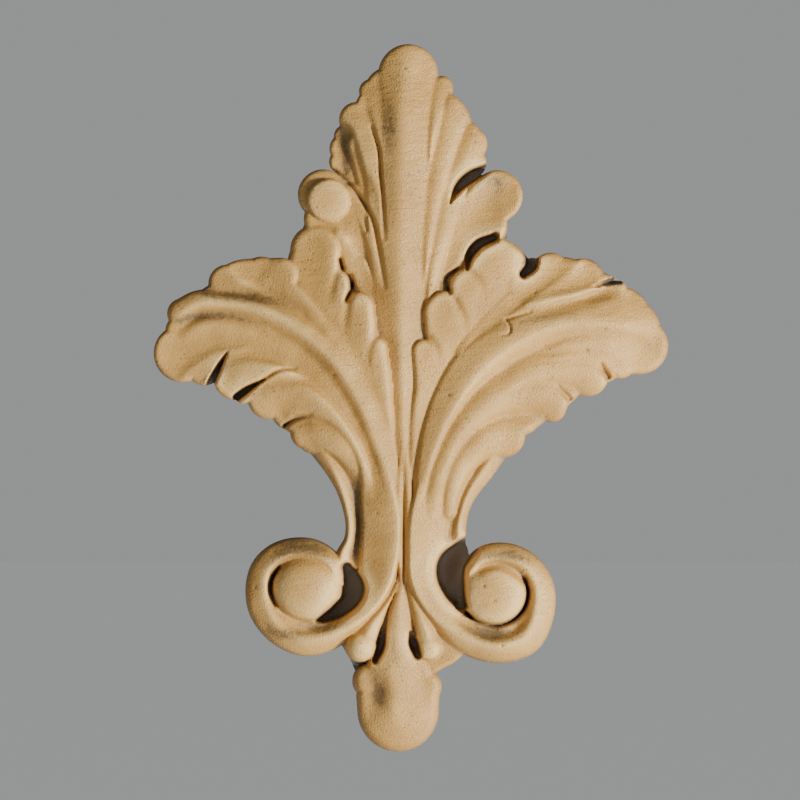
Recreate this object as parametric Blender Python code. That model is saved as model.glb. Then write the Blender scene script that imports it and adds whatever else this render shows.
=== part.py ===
"""A flexible fleur-de-lis moulding: a flat-backed onlay cast in one piece.

The front is one surface of levels above the flat back. Each leaf is a fan of flutes that leave its spine
and run out to round tips; the stems, scrolls, tendrils and the pendant are bands and domes swept along
curves. Places and widths are millimetres on a drawing seen from the front: x to the right, z upwards,
levels above the back. The part stands in metres with its back in the plane y = 0 and its front towards -Y.
"""
import bpy
import numpy as np

# Driving dimensions
HEIGHT = 0.177            # top of the centre leaf to the foot of the pendant
DRAWN_HEIGHT = 177.0      # the same height on the drawing
MESH_STEP = 0.75          # spacing of the mesh before it is thinned
TRIANGLES = 9400          # about how many triangles the thinned mesh has
SHARP_ANGLE = 60.0        # degrees past which an edge is shaded sharp
DRAWING_HALF = (67.0, 92.0)
WEB_LEVEL = 2.0           # thickness of the thin web that closes the deep gaps
RESIN_COLOUR = (0.546, 0.342, 0.150, 1.0)
RESIN_ROUGHNESS = 0.55

# How flutes and edges are cut
RIDGE_SHARPNESS = 6.5     # higher gives crisper ridges between flutes
CARVING_DEPTH = 1.5       # how much deeper than drawn the flutes are cut
CREST_ROUNDING = 0.22     # rounding of a roof's crest, as a share of its half-width
FADE_IN = 1.1             # holds a flute back where it leaves its spine
EDGE_DROP = 0.85          # depth of the rounded edge as a share of its radius
WALL_FALL = 5.0           # millimetres a wall falls for each millimetre outwards
GAP_WALL = 5.5            # the same for the walls of an open gap
NOTHING = -60.0           # a level far below everything


def heading(angle):
    """Unit vector of a heading in degrees: 0 is up the drawing, 90 is to the right."""
    return np.array([np.sin(np.radians(angle)), np.cos(np.radians(angle))])


def through(*knots):
    """Smooth curve through knots (x, z, half-width, level): the knots and their slopes."""
    knots = np.asarray(knots, float)
    ends = np.vstack([2 * knots[0] - knots[1], knots, 2 * knots[-1] - knots[-2]])
    return knots, (ends[2:] - ends[:-2]) / 2


def arc(start, start_heading, end, end_heading, reach, widths, levels, fullness):
    """One cubic between two places with given headings.

    widths are the half-widths at its ends, levels those at its start, middle and end. fullness over 1
    widens it early, under 1 late.
    """
    start, end = np.array(start, float), np.array(end, float)
    pull = np.linalg.norm(end - start) * reach
    growth = widths[1] - widths[0]
    first, middle, last = levels
    knots = np.array([[*start, widths[0], first], [*end, widths[1], last]])
    slopes = np.array([
        [*(pull * heading(start_heading)), growth * fullness, -3 * first + 4 * middle - last],
        [*(pull * heading(end_heading)), growth * (2 - fullness), first - 4 * middle + 3 * last],
    ])
    return knots, slopes


def read(curve, t):
    """Place, slope and bend of a curve at parameters t, by its cubic between two knots."""
    knots, slopes = curve
    i = np.clip(t.astype(int), 0, len(knots) - 2)
    f = (t - i)[:, None]
    p, q, a, b = knots[i], knots[i + 1], slopes[i], slopes[i + 1]
    square, cube = 3 * (q - p) - 2 * a - b, 2 * (p - q) + a + b
    place = p + f * (a + f * (square + f * cube))
    slope = a + f * (2 * square + 3 * f * cube)
    return place, slope, 2 * square + 6 * f * cube


def nearest(x, z, curve):
    """Nearest place on a curve for every point.

    A coarse search picks the start, and Newton steps on (place - point) . slope = 0 finish it. Returns the
    distance, the sideways distance with its sign, the overshoot past the end, the curve's numbers at that
    place, and the share of its length.
    """
    count = len(curve[0]) - 1
    coarse = np.linspace(0, count, 16 if count == 1 else 5 * count + 1)
    place = read(curve, coarse)[0]
    t = coarse[np.argmin((x[:, None] - place[:, 0]) ** 2 + (z[:, None] - place[:, 1]) ** 2, axis=1)]
    for _ in range(4):
        place, slope, bend = read(curve, t)
        dx, dz = place[:, 0] - x, place[:, 1] - z
        speed = slope[:, 0] ** 2 + slope[:, 1] ** 2
        gain = np.maximum(speed + dx * bend[:, 0] + dz * bend[:, 1], 0.3 * speed)
        t = np.clip(t - np.clip((dx * slope[:, 0] + dz * slope[:, 1]) / gain, -0.2, 0.2), 0, count)
    place, slope, _ = read(curve, t)
    dx, dz = x - place[:, 0], z - place[:, 1]
    speed = np.hypot(slope[:, 0], slope[:, 1]) + 1e-9
    distance = np.hypot(dx, dz)
    past_end = t >= count - 1e-6
    over = np.where(past_end, np.maximum((dx * slope[:, 0] + dz * slope[:, 1]) / speed, 0), 0)
    side = (dx * slope[:, 1] - dz * slope[:, 0]) / speed
    side = np.where(over > 0, side, np.where(side >= 0, distance, -distance))
    place[:, 3] += slope[:, 3] / speed * 4 * (1 - np.exp(-over / 4))
    return distance, side, over, place, t / count


def soft_max(a, b, join):
    """The higher of two levels, rounded over the join's height where they cross."""
    t = np.clip(0.5 + 0.5 * (a - b) / join, 0, 1)
    return b + (a - b) * t + join * t * (1 - t)


def roof(side, over, width, crest):
    """Section of a crowned band: 0 at its sides and 1 at its crest, which is rounded and may stand aside."""
    side = side / width - crest
    side = side / np.where(side < 0, 1 + crest, 1 - crest)
    return 1 + CREST_ROUNDING - np.sqrt(CREST_ROUNDING ** 2 + side ** 2 + (0.7 * over / width) ** 2)


def form(x, z, edge, flutes, body=(), veins=()):
    """Level and inset of one form at every point.

    flutes are (hollow, tilt, curve): each point takes the level of the flute whose axis is nearest in
    half-widths, blended at the ridges. Where its knots carry a fifth number, a flute is a roof as high as
    its hollow, and that number is where its crest runs, from -1 on the left to 1 on the right. body are
    curves that only fill out the outline. veins are narrow ridges, or grooves where their level is
    negative. The edge is rounded off by a quarter circle.
    """
    total, weight = np.zeros(x.shape), np.full(x.shape, 1e-300)
    inset = np.full(x.shape, NOTHING)
    for hollow, tilt, curve in flutes:
        distance, side, over, place, share = nearest(x, z, curve)
        width, level = place[:, 2], place[:, 3]
        inset = np.maximum(inset, width - distance)
        across = np.hypot(side, np.maximum(over - 0.8 * width, 0)) / width
        growth = (width / curve[0][:, 2].max()) ** 0.7
        pull = np.exp(-RIDGE_SHARPNESS * np.minimum(across + FADE_IN * (1 - share) ** 3, 40))
        if place.shape[1] > 4:
            shape = hollow * growth * roof(side, over, width, place[:, 4])
        else:
            lean = 1.4 * tilt * np.tanh(side / width / 1.4)
            shape = CARVING_DEPTH * growth * (lean - hollow * np.maximum(1 - across ** 2 / 1.7, 0) ** 2)
        total += pull * (level + shape)
        weight += pull
    height = total / weight
    for curve in body:
        distance, _, _, place, _ = nearest(x, z, curve)
        inset = np.maximum(inset, place[:, 2] - distance)
    for curve in veins:
        distance, _, _, place, _ = nearest(x, z, curve)
        height = height + place[:, 3] * np.exp(-(distance / place[:, 2]) ** 2)
    near_edge = np.clip(1 - inset / edge, 0, 1)
    drop = edge * EDGE_DROP * (1 - np.sqrt(1 - 0.97 * near_edge ** 2))
    return height - drop + np.minimum(inset, 0) * WALL_FALL, inset


def dome(x, z, middle_x, middle_z, radius, level, crown):
    """Level and inset of a ball: level + crown sqrt(1 - (distance / radius)^2)."""
    distance = np.hypot(x - middle_x, z - middle_z)
    rise = crown * np.sqrt(np.maximum(1 - (distance / radius) ** 2, 0))
    return level + rise + np.minimum(radius - distance, 0) * WALL_FALL, radius - distance


def flute(root, root_heading, tip, radius, tip_heading, levels, hollow, tilt=0.0, start=1.2, reach=1.0):
    """A flute from its root to a round tip; hollow under 0 makes it stand out, tilt lifts its right side."""
    return hollow, tilt, arc(root, root_heading, tip, tip_heading, reach, (start, radius), levels, 0.9)


def centre_leaf():
    """The tall blade, roofed along its middle, and the small lobes down both edges."""
    blade = through((0.4, -36, 1.2, 8.4, 0), (0, -12, 2.8, 9.4, 0), (-0.6, 15, 5.4, 9.8, 0),
                    (-0.8, 38, 8.0, 9.8, 0), (-0.6, 60, 9.4, 9.0, 0), (0.7, 75, 8.3, 7.6, -0.1),
                    (1.3, 81.2, 7.5, 6.9, -0.1))
    flutes = [(3.4, 0, blade), flute((6.2, 56), 6, (9.8, 78.0), 2.8, 12, (11.0, 9.8, 7.4), -0.4, -0.2),
              flute((5.4, 30), 5, (11.9, 69.4), 4.4, 16, (11.2, 10.2, 8.2), -0.6, -0.2, start=2.2),
              flute((6.2, 24), 8, (17.0, 63.8), 4.1, 24, (10.8, 9.8, 7.4), -0.6, -0.2, start=2.0),
              flute((-5.6, 62), -3, (-8.0, 77.0), 3.0, -14, (11.2, 10.0, 8.0), -0.1, 0.2),
              flute((-6.4, 50), -5, (-11.6, 69.8), 4.4, -18, (11.2, 10.4, 8.6), -0.4, 0.2, start=2.0),
              flute((-9.0, 42), -10, (-14.4, 62.6), 4.0, -10, (9.2, 8.9, 7.4), 0.3, 0.2)]
    body = [through((0, -20, 3, 0), (0, 0, 5, 0), (0, 30, 7, 0), (-1, 58, 15, 0)),
            through((-5, 62, 11, 0), (-5.2, 70, 8, 0), (-3.6, 77, 6, 0)),
            through((4, 60, 12.4, 0), (7.6, 68, 10.0, 0), (5.4, 75.6, 5.6, 0)),
            through((16, 66.2, 3.2, 0), (17.0, 61, 3.1, 0), (17.6, 58.6, 3.0, 0), (12, 58, 3.6, 0)),
            through((-14.5, 65.8, 2.8, 0), (-13, 65, 3.0, 0)),
            through((-15.9, 59.4, 2.6, 0), (-13, 58, 3, 0))]
    return 1.2, flutes, body, [], 0.5


def centre_leaf_low():
    """The broad low lobes at the foot of the centre leaf: a dish on the right, a domed oval on the left."""
    flutes = [flute((-7.0, 26), -12, (-20.0, 51.1), 6.3, -34, (8.6, 9.6, 8.8), 0.3, start=2.2),
              flute((-7.0, 22), -20, (-15.4, 41.2), 4.0, -30, (8.8, 9.2, 9.0), -0.4, start=1.8),
              flute((4.4, 2), 5, (23.5, 50.8), 6.4, 48, (10.4, 10.8, 9.4), 0.9, 0.1, start=2.4),
              flute((6.6, 4), 8, (16.8, 33.0), 5.0, 52, (10.4, 10.8, 10.0), 1.0, start=2.2)]
    body = [through((-10, 30, 8, 0), (-12, 45, 9, 0)), through((8, 25, 7, 0), (12, 44, 8, 0)),
            through((16, 38, 6, 0), (20, 44, 6, 0)), through((-18.8, 45, 6.0, 0), (-15, 40, 6, 0))]
    bump = through((-16.2, 40.8, 1.9, 0.8), (-14.6, 40.2, 1.9, 0.7))
    return 1.5, flutes, body, [bump], 0.6


def centre_leaf_folds():
    """The raised folds that lie on the left of the blade, each highest at its right edge."""
    flutes = [flute((-4.2, 16), -3, (-9.8, 63.4), 3.9, -12, (10.0, 10.2, 9.6), 0.1, 0.55, start=1.8),
              flute((-4.0, 10), -4, (-9.8, 48.8), 3.1, -16, (10.0, 10.2, 9.6), 0.1, 0.5),
              flute((-3.6, 4), -4, (-11.4, 32.4), 3.2, -34, (10.2, 10.6, 9.8), 0.1, 0.4)]
    return 1.3, flutes, [through((-2.6, 6, 2, 0), (-4.8, 30, 3.6, 0), (-6.6, 48, 3.4, 0))], [], 0.5


def left_leaf():
    """The left leaf: a rib from the neck to the upper tip, with flutes falling away on both sides."""
    rib = through((-1.8, -32, 1.3, 9.2, 0.1), (-3.0, -22, 2.4, 10.2, 0), (-5.4, -12, 3.6, 10.3, -0.2),
                  (-9.8, 0.2, 4.6, 10.7, -0.3), (-16.4, 11.4, 5.2, 11.2, -0.4),
                  (-27.2, 19.4, 4.4, 10.8, -0.3), (-40, 24.0, 3.0, 9.7, -0.1), (-50, 24.2, 3.2, 8.4, 0),
                  (-55.2, 21.4, 3.8, 7.2, 0))
    flutes = [(1.9, 0, rib),
              flute((-14, 10), -45, (-35.4, 30.2), 5.4, -52, (11.6, 11.4, 8.8), 0.35, 0.2, start=2.8),
              flute((-20, 15), -60, (-44.0, 28.9), 4.7, -74, (11.6, 11.0, 8.2), 0.4, 0.2, start=2.2),
              flute((-5.6, -26), -6, (-55.2, 11.4), 7.2, -122, (10.0, 11.2, 7.6), 0.9, 0.3, reach=1.1,
                    start=2.2),
              flute((-30, 13), -80, (-49.8, 7.6), 4.2, -135, (10.4, 9.8, 7.8), 0.4, start=2.0),
              flute((-19, 3), -55, (-42.0, 5.2), 5.4, -112, (10.8, 10.6, 8.2), -0.8, 0.4, start=3.4),
              flute((-8.4, -23), -6, (-33.4, 0.4), 5.5, -124, (9.0, 10.8, 8.2), -1.0, 0.3, reach=1.15,
                    start=2.6), flute((-11.4, -21), -2, (-22.3, -9.3), 4.4, -98, (7.6, 10.0, 8.6), -0.9, 0.3,
                                      reach=1.15, start=2.2)]
    body = [through((-6, -20, 3, 0), (-12, -4, 6, 0), (-22, 10, 7, 0), (-34, 20, 10, 0), (-43, 19, 11.0, 0),
                    (-50, 15.8, 9.0, 0)),
            through((-30.5, 31, 4.3, 0), (-40, 30.2, 4.7, 0), (-43.6, 28.4, 4.4, 0)),
            through((-56.2, 17.4, 3.2, 0), (-54, 17, 4, 0)),
            through((-10, -14, 4, 0), (-17, -4, 6.4, 0), (-27, 1.5, 7.0, 0), (-35, 6, 7.4, 0)),
            through((-28.6, -3.4, 4.2, 0), (-25, -4.6, 5.0, 0)),
            through((-39.6, 1.8, 3.0, 0), (-36, 3, 4, 0)), through((-24, -8.4, 4.2, 0), (-20, -9, 4, 0))]
    grooves = [through((-56, 17.0, 1.6, -0.6), (-52, 20.4, 1.8, -1.3), (-45, 21.0, 2.0, -1.3),
                       (-36, 18.6, 2.2, -1.0), (-27, 14.0, 2.2, -0.8), (-18, 6.0, 2.0, -0.6),
                       (-11, -6, 1.6, -0.3)), through((-47, 25.4, 1.8, -0.4), (-41, 26.6, 2.0, -1.0),
                                                      (-33, 25.6, 2.2, -1.0), (-25, 20.8, 2.0, -0.5))]
    return 1.4, flutes, body, grooves, 0.7


def left_inner_leaf():
    """The small leaf that overlaps the centre leaf on the left; its scalloped edge faces the blade."""
    leaf = through((-1.2, -20, 1.3, 9.8), (-6, -4, 2.6, 11.4), (-12.2, 9, 4.6, 12.2),
                   (-18, 20.5, 6.0, 12.0), (-22.2, 34.2, 6.6, 10.2))
    lobes = [through((-3.2, -12, 1.5, 0), (-4.8, -3, 2.5, 0), (-6, 4, 3.2, 0), (-6.8, 12.6, 2.8, 0)),
             through((-11, 13, 4.8, 0), (-11.2, 22.6, 3.9, 0)),
             through((-17, 24, 5.8, 0), (-15.6, 29.6, 2.8, 0)),
             through((-21.9, 37.2, 6.3, 0), (-22, 34, 6, 0))]
    creases = [through((-6, 18.6, 0.9, -0.6), (-8.6, 12, 1.0, -0.3), (-9.4, 7, 0.9, 0)),
               through((-12.6, 28, 0.9, -0.7), (-14.2, 21, 1.0, -0.4), (-14.4, 15, 0.9, 0)),
               through((-16, 33, 0.9, -0.6), (-17.6, 28, 1.0, -0.3), (-18.4, 23, 0.9, 0))]
    return 2.0, [(0.3, 0.6, leaf)], lobes, creases, 0.5


def right_leaf():
    """The right leaf, of the same kind as the left one; a broad fold takes the place of the rib."""
    fold = through((3.6, -26, 1.8, 10.0, 0.3), (6.2, -14, 3.0, 10.8, 0.4), (10.6, -2, 4.4, 11.0, 0.45),
                   (17.4, 8.6, 5.4, 11.0, 0.45), (26.6, 15.8, 5.8, 10.6, 0.4), (37, 19.4, 5.6, 10.0, 0.2),
                   (47, 19.6, 5.6, 9.0, 0.1), (55.2, 18.4, 5.8, 7.4, 0))
    flutes = [(2.4, 0, fold),
              flute((15, 12), 42, (37.0, 31.5), 5.1, 50, (11.8, 11.2, 8.6), 0.5, 0.3, start=2.6),
              flute((22, 17.6), 55, (45.0, 29.6), 5.6, 74, (11.8, 11.2, 8.0), 0.5, 0.7, start=2.0),
              flute((34, 12), 85, (58.4, 13.0), 6.4, 108, (11.0, 10.6, 7.6), 0.0, -0.3, start=3.0),
              flute((30, 8), 80, (50.4, 8.6), 4.4, 128, (10.6, 10.0, 7.8), -0.8, -0.2, start=2.0),
              flute((9, -18), 30, (46.0, 6.0), 5.4, 122, (10.4, 11.0, 8.6), -0.9, -0.3, start=2.6),
              flute((7.6, -28), 4, (36.0, 0.4), 5.6, 118, (9.8, 11.0, 8.6), -1.2, -0.4, reach=1.15,
                    start=2.8), flute((11.5, -28), 0, (25.0, -9.2), 5.5, 92, (9.2, 10.2, 8.8), -1.2, -0.3,
                                      reach=1.15, start=2.4)]
    body = [through((6, -20, 3, 0), (12, -3, 6, 0), (22, 9, 7, 0), (34, 20, 10, 0), (45, 19, 11.4, 0),
                    (55, 16.4, 9.6, 0)), through((59.2, 13.3, 7.2, 0), (55, 14, 8, 0)),
            through((55.2, 21.4, 6.4, 0), (50, 20, 8, 0)),
            through((32, 28, 6.4, 0), (41, 30.2, 5.2, 0), (53, 26.8, 3.2, 0)),
            through((54.2, 9.3, 4.2, 0), (50, 12, 5, 0)),
            through((9, -18, 5, 0), (18, -6, 8.2, 0), (28, -1.8, 7.6, 0), (36, 3.6, 6.6, 0)),
            through((50, 8.4, 3.4, 0), (46, 10, 6, 0)),
            through((41.4, 2.0, 2.6, 0), (38.8, 0.2, 3.2, 0), (37.2, -2.2, 3.6, 0)),
            through((30.4, -5.4, 3.4, 0), (26, -5, 5, 0))]
    lip = [through((31, 23.6, 1.0, 0.3), (37.2, 25.0, 1.1, 0.8), (44, 26.4, 1.1, 1.0),
                   (49.4, 28.4, 0.9, 0.6)), through((33, 21.2, 1.6, -0.3), (40, 23.2, 2.0, -0.9),
                                                    (48, 25.2, 2.0, -0.8), (53, 26.6, 1.6, -0.2))]
    return 1.8, flutes, body, lip, 0.7


def right_inner_leaf():
    """The small leaf that overlaps the centre leaf on the right, highest along its scalloped left edge."""
    leaf = through((2.0, -20, 1.2, 10.0), (4.6, -2, 2.6, 11.0), (10.2, 13, 4.4, 11.4),
                   (18, 24.5, 6.2, 11.2), (23.4, 33.0, 7.0, 10.2))
    lobes = [through((3.4, -12, 1.6, 0), (4.8, -3, 2.5, 0), (5.8, 4, 3.0, 0), (5.3, 11.8, 3.1, 0)),
             through((10.4, 12, 4.4, 0), (10.8, 21.2, 5.6, 0)),
             through((17, 22, 6, 0), (16.2, 28.0, 4.4, 0)), through((19, 26, 6, 0), (23, 32, 7, 0))]
    creases = [through((13.0, 24.6, 0.9, -0.6), (15.0, 20.5, 1.0, -0.3), (15.4, 16, 0.9, 0)),
               through((6.6, 15.4, 0.9, -0.6), (8.4, 12.5, 1.0, -0.3), (9, 8, 0.9, 0)),
               through((16.8, 32, 0.9, -0.5), (19.4, 29, 1.0, -0.3), (20.4, 26, 0.9, 0))]
    return 1.7, [(-0.4, -0.7, leaf)], lobes, creases, 0.3


def rims():
    """The outer rims of the two stems, which leave the lowest lobes of the leaves."""
    left = through((-21, -11.5, 3.0, 6.6, 0), (-17.0, -17.7, 2.4, 7.5, 0.1), (-14.6, -23.6, 1.7, 7.9, 0.2),
                   (-13.2, -30.1, 1.3, 8.2, 0.2), (-13.4, -34.9, 1.3, 8.2, 0.2),
                   (-15.0, -38.9, 1.8, 8.4, 0.2), (-15.6, -41.8, 2.0, 8.4, 0))
    right = through((24, -11.5, 3.2, 6.4, 0), (20.4, -17.5, 2.7, 7.4, 0.1), (16.9, -22.7, 2.2, 7.8, 0.1),
                    (15.0, -27.3, 1.7, 8.2, 0.1), (14.1, -31.6, 1.7, 8.2, 0.1),
                    (14.0, -36.0, 1.7, 8.2, 0.1))
    return 0.8, [(2.2, 0, left), (2.4, 0, right)], [], [], 0.8


def groove_floors():
    """The floors of the grooves beside the stems, and the raised seam where the two stems meet."""
    floors = [through((-14, -13, 4, 8.8), (-12.4, -20, 3.4, 8.0), (-11.0, -28, 3.0, 7.2),
                      (-11.0, -34, 3.0, 7.0), (-12.4, -39.6, 2.8, 7.4)),
              through((15, -13, 4, 8.8), (13.4, -20, 3.8, 8.3), (12.0, -28, 3.2, 7.4),
                      (11.8, -36.5, 3.0, 7.2)),
              through((0.2, -12, 1.0, 10.2), (0.2, -20, 1.7, 10.8), (0.2, -28, 2.0, 11.0),
                      (0.2, -38, 1.7, 10.9), (0.1, -44, 1.0, 10.2), (0, -48, 0.5, 9.4))]
    line = through((0.1, -10, 0.4, -0.2), (0.1, -20, 0.4, -0.8), (0.2, -28, 0.4, -1.2),
                   (0.2, -40, 0.4, -1.2), (0.1, -46, 0.4, -0.8))
    return 0.6, [(0, 0, floor) for floor in floors], [], [line], 0.8


def left_scroll():
    """The left stem, which comes down from the neck and curls round its ball; its crest changes sides."""
    band = through((-9, -6, 2.6, 5.4, -0.5), (-7.6, -15, 4.0, 7.6, -0.6), (-6.0, -24, 5.2, 8.1, -0.7),
                   (-5.4, -31, 5.5, 8.1, -0.76), (-5.6, -38, 5.4, 8.2, -0.76),
                   (-6.8, -45.8, 4.6, 8.6, -0.72), (-11.4, -52.8, 4.2, 8.6, -0.55),
                   (-17.8, -57.8, 4.5, 8.4, -0.1), (-24, -59.4, 4.9, 8.0, 0.15),
                   (-30.0, -57.2, 4.7, 7.9, 0.4), (-34.4, -52.8, 4.1, 7.9, 0.5),
                   (-36.0, -47.6, 3.4, 8.2, 0.5), (-35.0, -42.6, 3.2, 8.6, 0.4),
                   (-31.8, -39.4, 3.2, 9.0, 0.3), (-27.4, -38.0, 3.2, 9.2, 0.2),
                   (-22.6, -38.6, 3.4, 9.4, 0.1), (-18.6, -41.2, 3.2, 9.4, 0), (-16.8, -44.6, 2.2, 9.2, 0))
    groove = through((-12, -50.6, 0.8, 0), (-16, -54.6, 1.1, -1.0), (-20, -56.8, 1.3, -1.5),
                     (-25, -57.6, 1.4, -1.7), (-29.4, -55.6, 1.3, -1.3), (-32.6, -52.0, 1.0, -0.6),
                     (-34.2, -47.6, 0.8, 0))
    return 1.6, [(3.5, 0, band)], [], [groove], 0.9


def right_scroll():
    """The right stem and scroll, which runs into its ball."""
    band = through((9, -6, 2.6, 5.4, 0.5), (8.2, -15, 3.8, 7.6, 0.6), (6.9, -24, 5.0, 8.4, 0.68),
                   (5.9, -31, 5.4, 8.6, 0.7), (5.3, -38, 5.0, 8.6, 0.7), (5.4, -45, 4.6, 8.6, 0.68),
                   (8.4, -51.2, 4.5, 8.6, 0.6), (12.6, -56.0, 4.5, 8.6, 0.35), (18, -59.4, 5.2, 8.4, 0.15),
                   (24.2, -60.8, 5.2, 8.4, 0.05), (30.3, -59.0, 5.0, 8.2, 0), (34.0, -53.3, 3.9, 8.4, -0.3),
                   (34.4, -47, 3.4, 8.6, -0.35), (31.4, -42.0, 3.3, 8.8, -0.2),
                   (26.4, -39.4, 3.2, 9.2, -0.1), (20.8, -39.9, 3.2, 9.4, 0), (17, -43.0, 2.4, 9.4, 0),
                   (15.7, -47.4, 1.3, 9.2, 0), (16.4, -51.4, 0.8, 9, 0))
    groove = through((11, -52.2, 0.9, 0), (16, -56.4, 1.3, -1.0), (21.5, -58.8, 1.5, -1.7),
                     (26, -58.6, 1.3, -1.3), (30.2, -55.6, 1.1, -0.6), (32.2, -51.8, 0.9, 0))
    return 1.6, [(3.3, 0, band)], [], [groove], 0.9


def tendrils():
    """The two short tendrils that come out from under the stems and end in drops above the pendant."""
    left = through((-0.6, -43.6, 0.9, 8.4, 0), (-2.4, -48.6, 1.3, 9.2, 0), (-5.4, -53.2, 1.6, 9.6, 0),
                   (-7.8, -56.6, 2.1, 9.6, 0), (-10.2, -60.8, 3.2, 8.8, 0))
    right = through((0.8, -43.6, 0.9, 8.4, 0), (2.2, -49, 1.6, 9.2, 0), (4.4, -54.6, 2.1, 9.6, 0),
                    (5.8, -58.2, 2.5, 9.4, 0), (6.4, -61.6, 3.1, 8.8, 0))
    return 1.3, [(1.8, 0, left), (1.8, 0, right)], [], [], 0.6


def pendant():
    """The pendant under the scrolls: a soft ridge that swells into a round foot, hollowed on both sides."""
    middle = through((-0.2, -43.6, 0.8, 8.6, 0), (-0.6, -48, 2.2, 9.2, 0), (-1.0, -53.5, 3.6, 9.2, 0.05),
                     (-1.2, -58, 4.0, 8.8, 0.05), (-1.2, -62, 5.0, 8.5, 0.1), (-1.3, -67, 8.2, 8.1, 0.15),
                     (-1.2, -72, 9.2, 7.4, 0.15), (-1.3, -78.2, 10.0, 6.5, 0.1))
    bumps = [through((-8.4, -70.6, 4.3, 0), (-6, -71, 4.3, 0)),
             through((5.6, -72.0, 4.1, 0), (4, -72, 4, 0)),
             through((-1.3, -74.5, 10.4, 0), (-1.2, -78, 10.2, 0))]
    hollows = [through((-7.6, -68.4, 2.8, -0.3), (-6.2, -73.0, 3.2, -1.1), (-6.0, -79.5, 3.0, -0.2)),
               through((-11.0, -68.6, 2.6, 0.2), (-10.4, -72.6, 2.6, 0.2)),
               through((8.4, -70.4, 2.6, 0.2), (8.0, -74.4, 2.4, 0.2)),
               through((4.6, -66.6, 2.4, -0.2), (5.0, -71, 2.8, -0.5), (5.2, -77, 2.6, 0))]
    return 2.2, [(3.1, 0, middle)], bumps, hollows, 0.7


def plate():
    """The flat web between the right drop and the right scroll."""
    flat = through((13.4, -57.8, 5.0, 8.4), (10.4, -61.4, 5.0, 8.4), (6.8, -64.6, 4, 8.2))
    return 1.2, [(0, 0, flat)], [], [], 0.8


def webs():
    """Thin webs behind the deep gaps, so that nothing shows through them."""
    places = [
        ((-13.0, -42.8, 3.6), (-14.2, -51.2, 3.4), (-18.6, -53.0, 1.8)),
        ((13, -38.6, 3.4), (12.2, -45.2, 3.6), (13.8, -50.2, 3.0), (18.4, -55.4, 1.8)),
        ((16.8, 55.2, 2.6), (12.8, 52.8, 2.6)), ((18.8, 38.2, 2.5), (16.8, 34.2, 2)),
        ((32.5, 33.2, 2.2), (30.2, 30.8, 1.4)), ((-15.5, 34.2, 1.5), (-14, 28.8, 2), (-16.2, 25.2, 1.5)),
        ((-47, 7.8, 2.2), (-45.2, 10.8, 1.5)), ((-38.8, 2.2, 2.2), (-35.2, 4.8, 1)),
        ((-13.8, -59.8, 2.2), (-11.4, -63.8, 2.2), (-9.4, -66.8, 2.4), (-4.6, -62.4, 3.0)),
        ((2.6, -60.5, 2.4), (3, -63, 2.4)),
        ((50.5, 27.8, 2.2), (46.8, 26.8, 1.2)), ((-31.8, -46.5, 3.0), (-31, -48, 3.0)),
        ((28, -52.8, 3.4), (28.2, -50, 3.2), (30.8, -46.5, 1.8)), ((-23.4, 42.6, 1.6), (-21.4, 40.4, 2.6)),
        ((-29.6, 33.6, 1.6), (-27.6, 31, 1.4)), ((22.4, 41.6, 3.7), (18, 40, 3)),
        ((27.4, 36.2, 2.3), (29.5, 33.4, 2.6)),
        ((-2.4, -50, 3), (-3.4, -58, 4)), ((2, -50, 3), (3.4, -58, 4)), ((18, -50, 3), (20, -55.5, 2)),
    ]
    return [through(*[(*place, WEB_LEVEL) for place in places_of_one]) for places_of_one in places]


def gaps():
    """Open gaps whose walls drop to a floor; the last number of each knot is the floor's level."""
    return [through((16.6, -36.6, 1.6, 2), (14.4, -38.6, 2.3, 2), (12.3, -41.2, 2.9, 2),
                    (11.9, -44.2, 2.8, 2), (12.9, -48.0, 1.9, 2), (14.6, -51.6, 0.6, 3)),
            through((-14.0, -42.2, 0.6, 3), (-12.9, -44.6, 1.4, 2), (-12.3, -47.4, 1.9, 2),
                    (-13.2, -50.2, 1.6, 2), (-16.4, -53.1, 1.1, 2), (-19.4, -54.7, 0.5, 3),
                    (-21.6, -55.4, 0.1, 6)), through((-2.0, -48.4, 0.1, 9.4), (-3.9, -53.4, 0.2, 8.4),
                                                     (-4.9, -58.4, 0.4, 6), (-5.6, -62.0, 0.6, 5),
                                                     (-7.0, -65.4, 0.4, 6)),
            through((2.0, -58.4, 0.3, 7), (2.6, -61.0, 0.7, 5), (3.6, -64, 0.6, 6)),
            through((-43.8, 11.9, 0.1, 8), (-45.6, 8.8, 0.1, 4), (-47.4, 5.4, 0.3, 3), (-48.4, 3.4, 0.4, 3)),
            through((-34.6, 4.8, 0.1, 9), (-37.2, 3.4, 0.1, 5), (-39.6, 1.9, 0.25, 3), (-41.6, 0.4, 0.4, 3)),
            through((46.8, 27.8, 0.1, 8), (50.0, 28.9, 0.4, 5), (54.0, 29.9, 0.6, 3)),
            through((30.2, 31.4, 0.6, 4), (32.0, 33.4, 1.0, 3), (32.4, 36.6, 1.2, 2.5)),
            through((11.8, 49.0, 0.1, 9), (14.0, 53.0, 0.7, 4), (17.0, 55.6, 1.0, 3), (20.8, 57.6, 0.6, 3)),
            through((16.0, 32.6, 0.1, 8), (16.6, 35.8, 0.5, 5), (19.0, 38.8, 0.7, 4), (22.8, 40.4, 0.4, 4))]


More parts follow.
